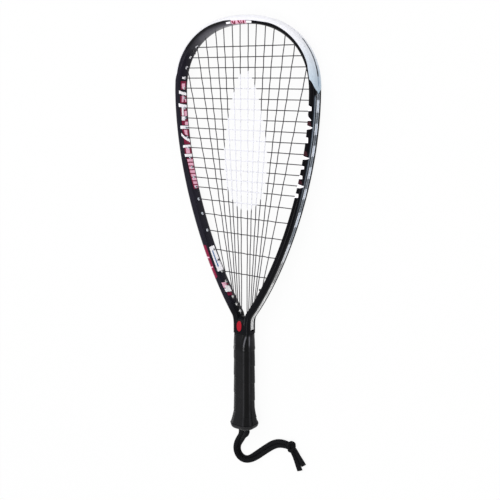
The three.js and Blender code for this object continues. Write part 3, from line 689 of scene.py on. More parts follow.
def string_material():
    """Dark nylon with a plain white oval stencilled on the middle of the strings."""
    n = Surface("string_nylon", (0.02, 0.018, 0.023), 0.35, Specular_IOR_Level=0.3)
    here, uv = n.place(), n.uv()
    x, y, _ = n.split(here)
    dy = n.math("DIVIDE", n.minus(y, STENCIL_MIDDLE[1]), STENCIL_HALF[1])
    half = n.times_plus(dy, -STENCIL_NARROWING * STENCIL_HALF[0], STENCIL_HALF[0])
    dx = n.math("DIVIDE", n.minus(x, STENCIL_MIDDLE[0]), half)
    far = n.plus(n.times(dx, dx), n.times(dy, dy))
    ragged = n.times_plus(n.noise(here, 260, 3), 0.12, far)
    painted = n.fall(ragged, 1.02, 1.08)
    twist = n.wave(n.mapped(uv, (1, 0.0012, 1), math.radians(35)), 500)
    dark = n.mix(n.times(twist, 0.4), (0.02, 0.018, 0.023), (0.055, 0.048, 0.06))
    thin = n.spread(n.noise(here, 900, 3), 0.25, 0.42)
    n.color(n.mix(n.times(painted, thin), dark, (0.86, 0.86, 0.93)))
    n.rough(n.spread(painted, 0, 1, 0.33, 0.6))
    n.bump(n.times_plus(twist, 0.5, n.noise(here, 1200, 2)), 0.00004, 0.5)
    return n.made


def handle_faces(n, first_corner):
    """Shares from the uv round the eight-sided handle: on a narrow face, and on a corner."""
    half_turn = n.math("FRACT", n.times_plus(n.split(n.uv())[0], 2 / HANDLE_ROUND, 1 - first_corner))
    off = [n.math("ABSOLUTE", n.minus(half_turn, at)) for at in NARROW_FACES]
    nearest = n.math("MINIMUM", n.math("MINIMUM", off[0], off[1]), off[2])
    corner = n.math("ABSOLUTE", n.minus(nearest, NARROW_HALF))
    return n.fall(nearest, 0.05, 0.1), n.fall(corner, 0.004, 0.034)


HANDLE_ROUND = 0.09
WRAP_CORNER = 0.075
COLLAR_CORNER = 0.097
NARROW_HALF = 0.0953
NARROW_FACES = (NARROW_HALF, 0.6286, 1 + NARROW_HALF)


def grip_material():
    """Tacky black tape with a fine grain and small pits; its narrow faces carry painted shade and its
    corners a painted highlight.
    """
    n = Surface("grip_tape", (0.012, 0.012, 0.013), 0.4, Specular_IOR_Level=0.07)
    here = n.place()
    grain = n.noise(here, 1100, 4, 0.6)
    cloudy = n.noise(here, 60, 3)
    pit = n.spread(n.cells(here, 330), 0.08, 0.24)
    narrow, corner = handle_faces(n, WRAP_CORNER)
    base = n.mix(cloudy, (0.006, 0.006, 0.0065), (0.014, 0.014, 0.0155))
    # Painted shade: the narrow faces darker
    base = n.mix(n.times(narrow, 0.75), base, (0.002, 0.002, 0.0022))
    # Painted highlight along the corners
    n.color(n.mix(n.times(corner, cloudy), base, (0.034, 0.034, 0.038)))
    n.rough(n.spread(n.times_plus(grain, 0.5, cloudy), 0.4, 1.1, 0.36, 0.56))
    n.bump(n.times_plus(grain, 0.5, pit), 0.00016, 0.45)
    return n.made


def collar_material():
    """Gloss rubber of the collar, with painted highlights on its corners near the top and painted shade on
    its narrow faces.
    """
    n = Surface("collar_rubber", (0.004, 0.004, 0.005), 0.14, Specular_IOR_Level=0.09)
    here = n.place()
    cloudy = n.noise(here, 90, 4)
    narrow, corner = handle_faces(n, COLLAR_CORNER)
    high = n.rise(n.split(n.uv())[1], 0.118, 0.126)
    fading = n.times(high, n.fall(n.split(n.uv())[1], 0.1335, 0.136))
    # Painted highlight on the corners near the top, left off the leftmost corner
    painted_glint = n.times(corner, n.times_plus(fading, 0.85, 0.15))
    base = n.mix(cloudy, (0.003, 0.003, 0.0036), (0.012, 0.012, 0.014))
    # Painted shade: the narrow faces darker
    base = n.mix(n.times(narrow, 0.85), base, (0.0012, 0.0012, 0.0016))
    painted_glint = n.times(painted_glint, n.spread(n.split(here)[0], -0.008, -0.002))
    n.color(n.mix(painted_glint, base, (0.13, 0.13, 0.145)))
    n.rough_by(cloudy, 0.1, 0.24)
    n.grain(500, 3, 0.00004, 0.4)
    return n.made


def rubber_material(name, base, roughness, scale):
    n = Surface(name, base, roughness, Specular_IOR_Level=0.2)
    here = n.place()
    cloudy = n.noise(here, 70, 4)
    n.color(n.mix(cloudy, tuple(0.8 * c for c in base), tuple(1.7 * c for c in base)))
    n.rough_by(cloudy, roughness - 0.06, roughness + 0.1)
    n.grain(scale, 3, 0.00006, 0.5)
    return n.made


def foam_material():
    n = Surface("core_foam", (0.62, 0.52, 0.3), 0.9)
    here = n.place()
    n.color(n.mix(n.noise(here, 80, 4), (0.55, 0.45, 0.25), (0.72, 0.62, 0.4)))
    n.bump(n.cells(here, 900), 0.0003, 0.8)
    return n.made


def braid_material():
    """Black braided cord: crossing strands from the uv of its tube."""
    n = Surface("braid", (0.004, 0.004, 0.005), 0.7, Specular_IOR_Level=0.06)
    along, around, _ = n.split(n.uv())
    turns = n.times(along, 1 / (2 * CORD_R * MM))
    one = n.math("SINE", n.times(n.plus(turns, n.times(around, 8)), TAU))
    two = n.math("SINE", n.times(n.minus(turns, n.times(around, 8)), TAU))
    braid = n.spread(n.math("MAXIMUM", one, two), -0.6, 1)
    fibre = n.noise(n.place(), 2600, 3, 0.7)
    n.color(n.mix(n.times(braid, n.times_plus(fibre, 0.6, 0.4)),
                  (0.001, 0.001, 0.0014), (0.009, 0.009, 0.0108)))
    n.rough_by(fibre, 0.6, 0.8)
    n.bump(n.times_plus(fibre, 0.25, braid), 0.0002, 0.7)
    return n.made


def paint_material(name, base, roughness=0.35, wear=0.12, painted_glow=0.0):
    """Printed film on the rim, a little worn, that can give off a little light of its own colour as a
    painted glow.
    """
    n = Surface(name, base, roughness, Specular_IOR_Level=0.12, Emission_Color=base,
                Emission_Strength=painted_glow)
    here = n.place()
    worn = n.spread(n.noise(here, 700, 4), 0.6, 0.72)
    n.color(n.mix(n.times(worn, wear * 4), base, tuple(0.35 * c for c in base)))
    n.rough_by(n.noise(here, 150, 3), roughness - 0.05, roughness + 0.1)
    return n.made


carbon = carbon_material()
guard = guard_material()
guard_slot_painted_shade = slot_shade_material()
grommet = grommet_material()
strung = strung_material()
nylon = string_material()
tape = grip_material()
cap_rubber = rubber_material("cap_rubber", (0.006, 0.006, 0.0068), 0.4, 1400)
collar_rubber = collar_material()
braid = braid_material()
foam = foam_material()
paint_red = paint_material("print_red", (0.4, 0.008, 0.022))
paint_dusk = paint_material("print_dark_red", (0.24, 0.012, 0.05))
paint_deep = paint_material("print_deep_red", (0.035, 0.004, 0.009))
# The pale and white prints glow a little: painted light
paint_pale = paint_material("print_pale_pink", (0.86, 0.46, 0.6), painted_glow=0.1)
paint_white = paint_material("print_white", (0.95, 0.93, 0.97), 0.4, painted_glow=0.18)
paint_blue = paint_material("print_blue", (0.06, 0.22, 0.5))


# Lanyard
def vectors(rows):
    return [Vector(row) for row in rows]


LANYARD_ROUTE = vectors([
    (0, -279.9, 16.9), (0, -285.4, 16.9), (-5.2, -293.5, 13.8), (-12.6, -302.8, 9), (-19.4, -312.6, 5),
    (-22.9, -321.2, 3), (-21.9, -328.6, 2.7), (-17.2, -334, 2.7), (-9.6, -336.2, 2.7), (-0.6, -333.6, 2.7),
    (9.5, -326.4, 2.7), (22, -315.6, 2.7), (31.8, -307.4, 2.7), (41, -300.3, 2.7), (50.4, -296, 2.8),
    (63.2, -293.8, 4.2),
])
TAIL_ROUTES = {
    -1: vectors([(77.2, -312, 2.8), (81.2, -320, 2.65), (84.6, -327.4, 2.65)]),
    1: vectors([(83.2, -308.6, 2.8), (87.4, -313.6, 2.65), (91, -318.4, 2.65)]),
}
KNOT_LENGTH = 12
TAIL_SPREAD = 22
KNOT_HALF = 6.4
KNOT_FLAT = 0.72
KNOT_TURN = math.radians(63)
CORD_JOIN = 0.075
STUB = 2 * CORD_R
SMOOTHINGS = 16

knot_entry = LANYARD_ROUTE[-1] - LANYARD_ROUTE[-2]
knot_entry.z = 0
knot_entry.normalize()


def flat_normal(heading):
    return Vector((-heading.y, heading.x, 0)).normalized()


STACK_SPAN = (0.12, 0.3, 0.46, 0.64)
STACK_TURN = math.radians(74)


def strand_line(side):
    """One strand beside the other, except that one lies on the other at the bottom of the loop."""
    start, end = LANYARD_ROUTE[0], LANYARD_ROUTE[-1]
    middle = resample(curve_through([
        start - Vector((0, STUB, 0)), *LANYARD_ROUTE[1:-1], end - knot_entry * STUB,
    ]), 1.0)
    points = [start + Vector((side * CORD_HOLE_X, 0, 0))]
    last = len(middle) - 1
    for i, point in enumerate(middle):
        heading = middle[min(i + 1, last)] - middle[max(i - 1, 0)]
        if i == 0:
            heading = Vector((0, -1, 0))
        if i == last:
            heading = knot_entry
        apart = CORD_HOLE_X + (CORD_BESIDE - CORD_HOLE_X) * ease(i / last, 0, CORD_JOIN)
        tilt = STACK_TURN * ease(i / last, *STACK_SPAN[:2]) * (1 - ease(i / last, *STACK_SPAN[2:]))
        rise = Vector((0, 0, apart * math.sin(tilt)))
        points.append(point + flat_normal(heading) * side * apart * math.cos(tilt) + rise * (1 - side))
    points.append(points[-1] + knot_entry * STUB)
    return points


def in_knot(share):
    """Place and heading of the pair of strands at a share of the way through the knot."""
    up = Vector((0, 0, 1))
    heading = Quaternion(up, -KNOT_TURN * share) @ knot_entry
    chord = Quaternion(up, -KNOT_TURN * share / 2) @ knot_entry
    point = LANYARD_ROUTE[-1].copy()
    point.z = KNOT_HALF * KNOT_FLAT
    point += knot_entry * 0.3 + chord * KNOT_LENGTH * share
    return point, heading


def braid_bulge(walked, angle):
    turn = walked / (2 * CORD_R) * TAU
    return 0.09 * max(math.sin(turn + 8 * angle), math.sin(turn - 8 * angle))


def flat_strand(length):
    """Extra radius of a strand: pressed against its neighbour, and spread out at its cut end."""
    def extra(walked, angle):
        spread = ease(walked, length - TAIL_SPREAD, length)
        beside = ease(walked, 1, 6)
        splayed = ease(walked, 1, 6) * (1 - ease(walked, 8, 20))
        wide = CORD_R + 0.6 * beside + 1.3 * splayed + 1.9 * spread
        tall = CORD_R - 0.2 * beside - 0.3 * splayed - 0.9 * spread
        r = 1 / math.hypot(math.cos(angle) / tall, math.sin(angle) / wide)
        return r - CORD_R + braid_bulge(walked, angle)
    return extra


def cord_piece(name, line, nodes):
    fine = resample(line, 0.5)
    shape = tube_mesh(fine, CORD_R - 0.05, 32, flat_strand(lengths_along(fine)[-1]))
    obj = add_mesh(name, shape, braid, nodes, matrix=LEVEL)
    path = [tuple(LEVEL @ p) for p in fine]
    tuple(path[0])
    lengths_along(line)[-1] * MM


# Overhand knot of both strands: one loop stands out, the rest is wound round the neck
KNOT_ROUTE = vectors([
    (66.4, -294, 5), (69.3, -290.6, 6.8), (72.6, -288, 6.4), (75.2, -289.8, 4), (74.4, -293.6, 2.9),
    (70.4, -296, 2.7), (68.3, -298.2, 4.6), (70.4, -300, 7.2), (74.4, -298, 8.2), (76.8, -295.2, 6.4),
    (75.6, -292.4, 4), (71.8, -292.4, 4.8), (69.7, -295.2, 7.6), (71.8, -298.8, 8.2), (75.2, -301.2, 6.2),
    (76, -303.2, 3.8), (73.4, -303, 2.9), (71.2, -300.6, 4.2),
])
KNOT_STRAND = 2.25
knot_shape = tube_mesh(resample(curve_through(KNOT_ROUTE, 8), 0.5), KNOT_STRAND, 24, braid_bulge)
lanyard_knot = add_mesh("lanyard_knot_tied", knot_shape, braid, ["lanyard_knot"], matrix=LEVEL)


def through_knot(side):
    line = []
    for i in range(1, 12):
        point, heading = in_knot(i / 12)
        pinch = 1 - 0.3 * math.sin(math.pi * i / 12)
        line.append(point + flat_normal(heading) * side * CORD_BESIDE * pinch)
    return line


def cord_line(side):
    """From the cap, round the loop, through the knot and on to the cut end."""
    point, heading = in_knot(1)
    start = point + flat_normal(heading) * side * CORD_BESIDE
    stub = start + heading * STUB
    line = strand_line(side) + through_knot(side) + [start] + curve_through([stub, *TAIL_ROUTES[side]])
    line = resample(line, 2.0)
    for _ in range(SMOOTHINGS):
        line = [line[0]] + [(a + 2 * b + c) / 4 for a, b, c in zip(line, line[1:], line[2:])] + [line[-1]]
    return line


for side, word in ((-1, "left"), (1, "right")):
    cord_piece(f"{word}_cord_braid", cord_line(side), [f"{word}_lanyard_strand", f"{word}_lanyard_tail"])

bight = [Vector((-CORD_HOLE_X, 0, 0))]
for i in range(25):
    angle = math.pi * i / 24
    bight.append(Vector((-CORD_HOLE_X * math.cos(angle), 3.1 + CORD_HOLE_X * math.sin(angle), 0)))
bight.append(Vector((CORD_HOLE_X, 0, 0)))
bight_shape = tube_mesh(resample(bight, 0.8), CORD_R - 0.1, 24)
add_mesh("lanyard_bight_braid", bight_shape, braid, ["lanyard_bight"])


# Frame: the swept rim, the bridge in the throat and the shaft's top
CHANNEL_STOP = at_height(BOTTOM_OF_V - 17.4)


def rim_section(s):
    """The rim, with its channel run out above the grip."""
    closed = ease(abs(s), CHANNEL_STOP, CHANNEL_STOP + 1.2)
    return [(a[0] + (b[0] - a[0]) * closed, a[1]) for a, b in zip(RIM, CLOSED_RIM)]


RIM_STEP = 1.8
rim_shape = sweep(steps_between(-REACH, REACH, RIM_STEP), rim_section)
add_mesh("hoop_and_arms", rim_shape, carbon, ["frame"], sharp=40)


BRIDGE_BOTTOM = HANDLE_LENGTH - 0.1
BRIDGE_DEPTH = 9.68
BRIDGE_SAG = 3.6


def bridge_edges(y):
    """Half width of the throat's bridge at a height."""
    return line_at(at_height(max(min(y, 200), HANDLE_LENGTH + 0.05))).x + 0.4


def bridge_height(x, y):
    """Depth of the bridge's front face: full over the grip and rolled over into the V."""
    across = min(abs(x) / bridge_edges(y), 1)
    t = (y - BRIDGE_BOTTOM) / (BOTTOM_OF_V + BRIDGE_SAG * across * across - BRIDGE_BOTTOM)
    return BRIDGE_DEPTH * max(1 - min(t, 1) ** 4, 0) ** 0.42 * (1 - 0.03 * across ** 8)


def throat_bridge():
    cols, rows = 33, 28
    grid = []
    for j in range(rows):
        t = 1 - (1 - j / (rows - 1)) ** 1.9
        for i in range(cols):
            across = 2 * i / (cols - 1) - 1
            top = BOTTOM_OF_V + BRIDGE_SAG * across * across
            y = BRIDGE_BOTTOM + (top - BRIDGE_BOTTOM) * t
            x = across * bridge_edges(y)
            grid.append((x, y, bridge_height(x, y) if j < rows - 1 else 0.0))
    points = grid + [(x, y, -z) for x, y, z in grid]
    count = len(grid)
    front = grid_faces(cols, rows)
    back = [(count + a, count + d, count + c, count + b) for a, b, c, d in front]
    sides = [(a, a + cols, count + a + cols, count + a)
             for a in range((rows - 1) * cols) if a % cols in (0, cols - 1)]
    bottom = [(i, count + i, count + i + 1, i + 1) for i in range(cols - 1)]
    return points, front + back + sides + bottom, [(y * MM, x * MM) for x, y, _ in points]


add_mesh("throat_bridge", throat_bridge(), carbon, ["frame"], weld=True)


# Guard over the head's top
# The guard's points end this much higher than the solids' do
GUARD_SHORTER = 3.2
SLOT_STOP = 10 - GUARD_SHORTER
GUARD_REACH = at_height(GUARD_END + GUARD_SHORTER)
GUARD_WALL = 0.4
GUARD_FACE = 1.3
GUARD_BACK = 0.9
LIP_TURN = 116
LIP_WRAP = 143.6
LEFT_LIP_WRAP = 136
LEFT_LIP_LESS = 12


def lip_degrees(s, front):
    """How far the guard reaches round the rim's section: past the front face on the shoulders, and
    back to the channel at its pointed ends."""
    away = abs(s)
    wrap = LIP_WRAP if s > 0 else LEFT_LIP_WRAP
    wide = 92 - 8 * ease(away, 25, 60) + 11 * ease(away, LIP_TURN, LIP_WRAP)
    if s < 0:
        wide -= LEFT_LIP_LESS * ease(away, 5, 30)
    if not front:
        wide = 56 + 34 * ease(away, 55, 95)
    point = max((GUARD_REACH - away) / (GUARD_REACH - wrap), 0)
    return wide if point >= 1 else 8 + (wide - 8) * point


def over_skin(degrees, lift):
    angle = math.radians(degrees)
    c, k = math.cos(angle), math.sin(angle)
    return (math.copysign(abs(c) ** (2 / RIM_POWER), c) * (RIM_W + lift),
            math.copysign(abs(k) ** (2 / RIM_POWER), k) * (RIM_D + lift))


def guard_side(s, front):
    """Half of the guard's section, from the middle of its slot round its lip and back inside."""
    to_end = GUARD_REACH - abs(s)
    slot_end = min(max((to_end - SLOT_STOP) / 5, 0), 1)
    thin = 0.3 + 0.7 * ease(to_end, 0, 34)
    narrow = 0.25 + 0.75 * min(1, to_end / 5)
    crown = GUARD_FACE if front else GUARD_BACK
    face = RIM_FACE + 0.1 + (crown - 0.1) * thin
    middle = RIM_FACE + 0.1 + (GUARD_FACE - 0.1) * thin
    floor = STRIP_TOP + (1 - slot_end) * (middle - 0.6 - STRIP_TOP)
    half = [(floor, 0.0), (floor, 1.0), (floor + 0.04, 1.4), (floor + 0.25, 1.55),
            (max(face - 0.3, floor + 0.3), 1.62), (face - 0.08, 1.75), (face, 2.1)]
    lip = lip_degrees(s, front)
    for k in range(1, 13):
        degrees = 9 + (lip - 9) * k / 12
        lift = (GUARD_WALL + (crown - GUARD_WALL) * (1 - ease(degrees, 22, 72))) * thin
        half.append(over_skin(degrees, lift))
    half.append(over_skin(lip + 1.2, GUARD_WALL * 0.5 * thin))
    for k in range(9):
        half.append(over_skin(lip + 0.8 + (9 - lip) * k / 8, 0.05))
    half += [(4.4, 2.95), (2.2, 2.9), (2.15, 1.2), (2.15, 0.0)]
    return [(u, w * narrow) for u, w in half]


def guard_section(s):
    back = guard_side(s, False)
    return guard_side(s, True) + [(u, -w) for u, w in back[-2:0:-1]]


SLOT_FACES = 5
SLOT_SHADE_SPAN = (92, 141)
SKIN_STEP = 1.5
HOLE_R = 1.05
SHARED_HOLE_R = 1.75


def barrel(s, shared, proud):
    """Nylon tube through the rim: a lip on the inside, proud or flush, and a rounded mouth in the
    channel."""
    hole = SHARED_HOLE_R if shared else HOLE_R
    outer = hole + (0.5 if proud else 0.25)
    lip = MOUTH + 0.72 if proud else -(RIM_W + 0.05)
    profile = [(hole, -4.4), (hole, lip + 0.23), (hole + 0.12, lip), (outer - 0.1, lip),
               (outer, lip + 0.18), (outer, -4.4), (outer, STRIP_TOP - 0.3), (outer + 0.1, STRIP_TOP + 0.02),
               (hole + 0.25, STRIP_TOP + 0.14), (hole, STRIP_TOP - 0.1)]
    sides = 16
    turned = [(TAU * k / sides, r, u) for k in range(sides) for r, u in profile]
    points = [place(s, u, r * math.sin(angle), r * math.cos(angle)) for angle, r, u in turned]
    maps = [(u * MM, angle) for angle, _, u in turned]
    return points, ring_faces(sides, len(profile), True), maps


PAD_R = 2.0


def pad(s, stretch):
    """Rounded nylon pad on the rim's inner wall, long enough for one hole or for a pair."""
    points, maps, sides = [], [], 24
    for r, u in ((PAD_R, -4.6), (PAD_R, -5.5), (PAD_R - 0.12, -5.72), (PAD_R - 0.5, -5.82), (0.6, -5.84)):
        for k in range(sides):
            angle = TAU * k / sides
            away = r * math.cos(angle) + math.copysign(stretch, math.cos(angle))
            points.append(place(s, u, r * math.sin(angle), away))
            maps.append((u * MM, angle))
    return points, ring_faces(5, sides), maps


def barrels_between(low, high):
    """Barrels and pads of the holes between two places on the hoop line."""
    found = [barrel(*hole) for hole in holes if low < hole[0] < high]
    return found + [pad(*spot) for spot in pads if low < spot[0] < high]


guard_steps = steps_between(-GUARD_REACH, GUARD_REACH, SKIN_STEP)
guard_skin = sweep(guard_steps, guard_section)
guard_ring = len(guard_section(0))
guard_shape = joined([guard_skin] + barrels_between(-GUARD_REACH, GUARD_REACH))
head_guard = add_mesh("head_guard", guard_shape, guard, ["bumper_guard"], sharp=45)
head_guard.data.materials.append(guard_slot_painted_shade)
# Faces inside the slot, over part of the guard, get the painted shade material
for polygon in head_guard.data.polygons[:len(guard_skin[1]) - 2]:
    across = polygon.index % guard_ring
    along = abs(guard_steps[polygon.index // guard_ring])
    in_slot = across < SLOT_FACES or across >= guard_ring - SLOT_FACES
    if in_slot and SLOT_SHADE_SPAN[0] < along < SLOT_SHADE_SPAN[1]:
        polygon.material_index = 1


def strip_section(s):
    """Grommet strip: a groove for the string between two flanges that fill the channel."""
    low = CHANNEL_FLOOR + 0.25
    half = [(STRIP_TOP, 0.0), (STRIP_TOP, 0.85), (STRIP_TOP + 0.15, 1.1), (RIM_FACE - 0.45, 1.25),
            (RIM_FACE - 0.15, 1.45), (RIM_FACE - 0.08, 1.9), (RIM_FACE - 0.1, 2.6), (RIM_FACE - 0.3, 2.9),
            (RIM_FACE - 0.8, STRIP_W + 0.1), (low, STRIP_W + 0.1), (low, 0.0)]
    return mirror(half)


# The cross string runs outside the rim between every second pair of crosses, on alternate sides
strung_spans = []
for row in range(CROSS_SPAN):
    a, b = crosses[row][1], crosses[row + 1][1]
    strung_spans.append((a, b) if row % 2 == 0 else (-b, -a))

SPLIT_S = at_height(STRIP_SPLIT)
BOTTOM_S = at_height(STRIP_BOTTOM)
for low, high, name, node in (
    (-SPLIT_S + 0.3, -GUARD_REACH - 0.3, "left_side_strip", "left_side_grommets"),
    (GUARD_REACH + 0.3, SPLIT_S - 0.3, "right_side_strip", "right_side_grommets"),
    (-BOTTOM_S, -SPLIT_S, "left_throat_strip", "left_throat_grommets"),
    (SPLIT_S, BOTTOM_S, "right_throat_strip", "right_throat_grommets"),
):
    strip_steps = steps_between(low, high, SKIN_STEP)
    skin = sweep(strip_steps, strip_section)
    shape = joined([skin] + barrels_between(low, high))
    strip = add_mesh(name, shape, grommet, [node], sharp=40)
    strip.data.materials.append(strung)
    for polygon in strip.data.polygons[:len(skin[1]) - 2]:
        middle = strip_steps[polygon.index // len(strip_section(0))] + SKIN_STEP / 2
        if any(a < middle < b for a, b in strung_spans):
            polygon.material_index = 1


# Strings
MAIN_WEAVE = 0.28
CROSS_WEAVE = 2 * STRING_R + 0.01 - MAIN_WEAVE
STACK = STRING_R + 0.05
STRING_BEND = 1.1
HITCH_R = 0.62


def main_across(i, side, height):
    top, foot = mouth(side * mains[i][0]), mouth(side * mains[i][1])
    return foot.x + (top.x - foot.x) * (height - foot.y) / (top.y - foot.y)


def meet(row, i):
    """Whether a cross meets a main inside the hoop."""
    height, s = crosses[row]
    top, foot = mouth(mains[i][0]), mouth(mains[i][1])
    if not foot.y + STRING_R < height < top.y - STRING_R:
        return False
    return main_across(i, 1, height) < mouth(s).x - STRING_R


def over(row, i, side):
    """1 where the main lies over the cross, and -1 where it lies under it."""
    column = MAIN_COUNT + i if side > 0 else MAIN_COUNT - 1 - i
    return 1 if (row + column) % 2 == 0 else -1


def waved(points):
    """Points between, with the height easing from one crossing to the next."""
    steps = 5
    out = [points[0]]
    for a, b in zip(points, points[1:]):
        for k in range(1, steps + 1):
            t = k / steps
            point = a.lerp(b, t)
            point.z = a.z + (b.z - a.z) * (1 - math.cos(math.pi * t)) / 2
            out.append(point)
    return out


def outside(s_from, s_to, u, w_from, w_to):
    """Run of a string along the outside of the rim, from one hole to the next."""
    values = steps_between(s_from, s_to, 3.0)
    return [place(s, u, w_from + (w_to - w_from) * i / (len(values) - 1)) for i, s in enumerate(values)]


def main_line(i, side):
    top_s, foot_s, shared = mains[i]
    points = [mouth(side * top_s, STACK if shared else 0)]
    for row, (height, _) in enumerate(crosses):
        if meet(row, i):
            z = MAIN_WEAVE * over(row, i, side)
            points.append(Vector((main_across(i, side, height), height, z)))
    points.append(mouth(side * foot_s))
    return waved(points)


def main_half(side):
    points = [place(side * MAIN_TIE_S, MOUTH - 0.6, 0)]
    points += outside(side * MAIN_TIE_S, side * mains[-1][1], RUN, 0, 0)
    for i in reversed(range(MAIN_COUNT)):
        upwards = i % 2 == 0
        line = main_line(i, side)
        points += line[::-1] if upwards else line
        if i:
            end = 0 if upwards else 1
            high = upwards and mains[i][2]
            w, u = (STACK, RUN + 2 * STRING_R) if high else (0, RUN)
            points += outside(side * mains[i][end], side * mains[i - 1][end], u, w, w)
    return points


main_points = main_half(-1) + outside(-mains[0][0], mains[0][0], RUN, 0, 0) + main_half(1)[::-1]


def add_string(name, points, node):
    add_mesh(name, tube_mesh(points, STRING_R, 10), nylon, [node])


add_string("main_string_woven", rounded(main_points, STRING_BEND, 3), "main_string")

cross_points = [place(-UPPER_TIE_S, MOUTH - 0.6, 0)]
cross_depth = [-STACK if row in SHARED_CROSSES else 0 for row in range(CROSS_COUNT)]
cross_points += outside(-UPPER_TIE_S, -crosses[0][1], RUN, 0, cross_depth[0])
for row in range(CROSS_COUNT):
    height, s = crosses[row]
    line = [mouth(-s, cross_depth[row])]
    for side, order in ((-1, reversed(range(MAIN_COUNT))), (1, range(MAIN_COUNT))):
        for i in order:
            if meet(row, i):
                z = -CROSS_WEAVE * over(row, i, side)
                line.append(Vector((main_across(i, side, height), height, z)))
    line.append(mouth(s, cross_depth[row]))
    line = waved(line)
    turn = -1 if row % 2 else 1
    cross_points += line[::turn]
    if row < CROSS_SPAN:
        cross_points += outside(turn * s, turn * crosses[row + 1][1], RUN, cross_depth[row],
                                cross_depth[row + 1])
cross_points += outside(-crosses[-1][1], -LOWER_TIE_S, RUN, 0, 0)
cross_points.append(place(-LOWER_TIE_S, MOUTH - 0.6, 0))
add_string("cross_string_woven", rounded(cross_points, STRING_BEND, 3), "cross_string")


def tie_knot(word, s):
    """Half hitch drawn tight against the barrel, with a short cut tail."""
    turns = []
    for i in range(61):
        t = i / 60
        angle, r = TAU * 1.6 * t, 1.05 - 0.25 * t
        turns.append((MOUTH - 0.7 - 1.5 * t, r * math.sin(angle), r * math.cos(angle)))
    u, w, v = turns[-1]
    turns.append((u - 0.8, w, v + 0.7))
    line = resample([place(s, *turn) for turn in turns], 0.3)
    add_mesh(f"{word}_hitch", tube_mesh(line, HITCH_R, 10), nylon, [f"{word}_knot"])


for word, s in (("left_main", -MAIN_TIE_S), ("right_main", MAIN_TIE_S), ("upper_cross", -UPPER_TIE_S),
                ("lower_cross", -LOWER_TIE_S)):
    tie_knot(word, s)


# Handle
GRIP_W = 14.3
GRIP_D = 12.75
CHAMFER = 6.3
HEEL_W = 18.85
HEEL_D = 16.8
HEEL_Y = 7
WRAP_PITCH = 25
BORE_R = 3.05
AROUND = 96
CHAMFER_LESS = 0.586
WRAP_BOTTOM = HEEL_Y + 0.3
WRAP_TOP = HANDLE_LENGTH - 24.3


def octagon(half_w, half_d, chamfer, soft):
    """Eight-sided outline (x, z) with soft corners and evenly spaced points."""
    upper = [(half_w, half_d - chamfer), (half_w - chamfer, half_d)]
    upper += [(-x, z) for x, z in reversed(upper)]
    corners = [Vector((x, z)) for x, z in upper + [(-x, -z) for x, z in upper]]
    line = []
    for k in range(8):
        before, at, after = corners[k - 1], corners[k], corners[(k + 1) % 8]
        into, away = (before - at).normalized(), (after - at).normalized()
        for i in range(5):
            line.append(arc(at + into * soft, at, at + away * soft, i / 4))
    return spaced(line + line[:1], AROUND + 1)[:-1]


def loft(rows):
    """Rings of (x, z) outlines at heights y, with uvs in metres."""
    verts, uvs = [], []
    for y, outline in rows:
        for k, p in enumerate(outline):
            verts.append(Vector((p.x, y, p.y)))
            uvs.append((k / len(outline) * HANDLE_ROUND, y * MM))
    return verts, ring_faces(len(rows), len(rows[0][1])), uvs


def heel_size(y):
    """Half width and half depth of the handle's outside at a height."""
    if y >= HEEL_Y:
        flare = min(max((31 - y) / 24, 0), 1) ** 1.7
        return GRIP_W + (HEEL_W - 0.3 - GRIP_W) * flare, GRIP_D + (HEEL_D - 0.3 - GRIP_D) * flare
    drop = (HEEL_Y - y) / HEEL_Y
    in_by = 1 - math.sqrt(max(1 - drop ** 2.2, 0))
    return HEEL_W - 5.6 * in_by, HEEL_D - 5.3 * in_by


def outline_at(y, inset, soft):
    half_w, half_d = heel_size(y)
    chamfer = half_w * CHAMFER / GRIP_W - inset * CHAMFER_LESS
    return octagon(half_w - inset, half_d - inset, chamfer, soft)


def wrap_mesh():
    """Tape wound up the handle. Rings follow the winding, so each edge of the tape is crisp."""
    levels = []
    for turn in range(7):
        for share, sunk in ((0.0, 0.5), (0.012, 0.16), (0.03, 0.02), (0.06, 0.0), (0.2, 0.06), (0.4, 0.14),
                            (0.6, 0.24), (0.8, 0.36), (0.93, 0.46), (0.985, 0.55)):
            levels.append((turn + share, sunk))
    verts, uvs = [], []
    for level, sunk in levels:
        for k in range(AROUND):
            y = WRAP_BOTTOM + (level - 1.6 + k / AROUND) * WRAP_PITCH
            p = outline_at(min(max(y, WRAP_BOTTOM), WRAP_TOP), sunk, 3.6)[k]
            verts.append(Vector((p.x, y, p.y)))
            uvs.append((k / AROUND * HANDLE_ROUND, y * MM))
    return verts, ring_faces(len(levels), AROUND), uvs


def cut_square(obj, bottom, top):
    """Cuts a piece square to the handle at both ends and closes the cuts."""
    work = bmesh.new()
    work.from_mesh(obj.data)
    axis = (RACKET.to_3x3() @ Vector((0, 1, 0))).normalized()
    for y, sign in ((bottom, -1), (top, 1)):
        geometry = list(work.verts) + list(work.edges) + list(work.faces)
        bmesh.ops.bisect_plane(work, geom=geometry, plane_co=RACKET @ Vector((0, y, 0)),
                               plane_no=axis * sign, clear_outer=True)
        bmesh.ops.holes_fill(work, edges=[edge for edge in work.edges if edge.is_boundary])
    bmesh.ops.recalc_face_normals(work, faces=work.faces)
    bmesh.ops.dissolve_degenerate(work, dist=WELD, edges=work.edges)
    work.to_mesh(obj.data)
    work.free()
    obj.data.set_sharp_from_angle(angle=math.radians(50))


wrap = add_mesh("grip_tape_wound", wrap_mesh(), tape, ["grip_wrap"])
cut_square(wrap, WRAP_BOTTOM, WRAP_TOP)

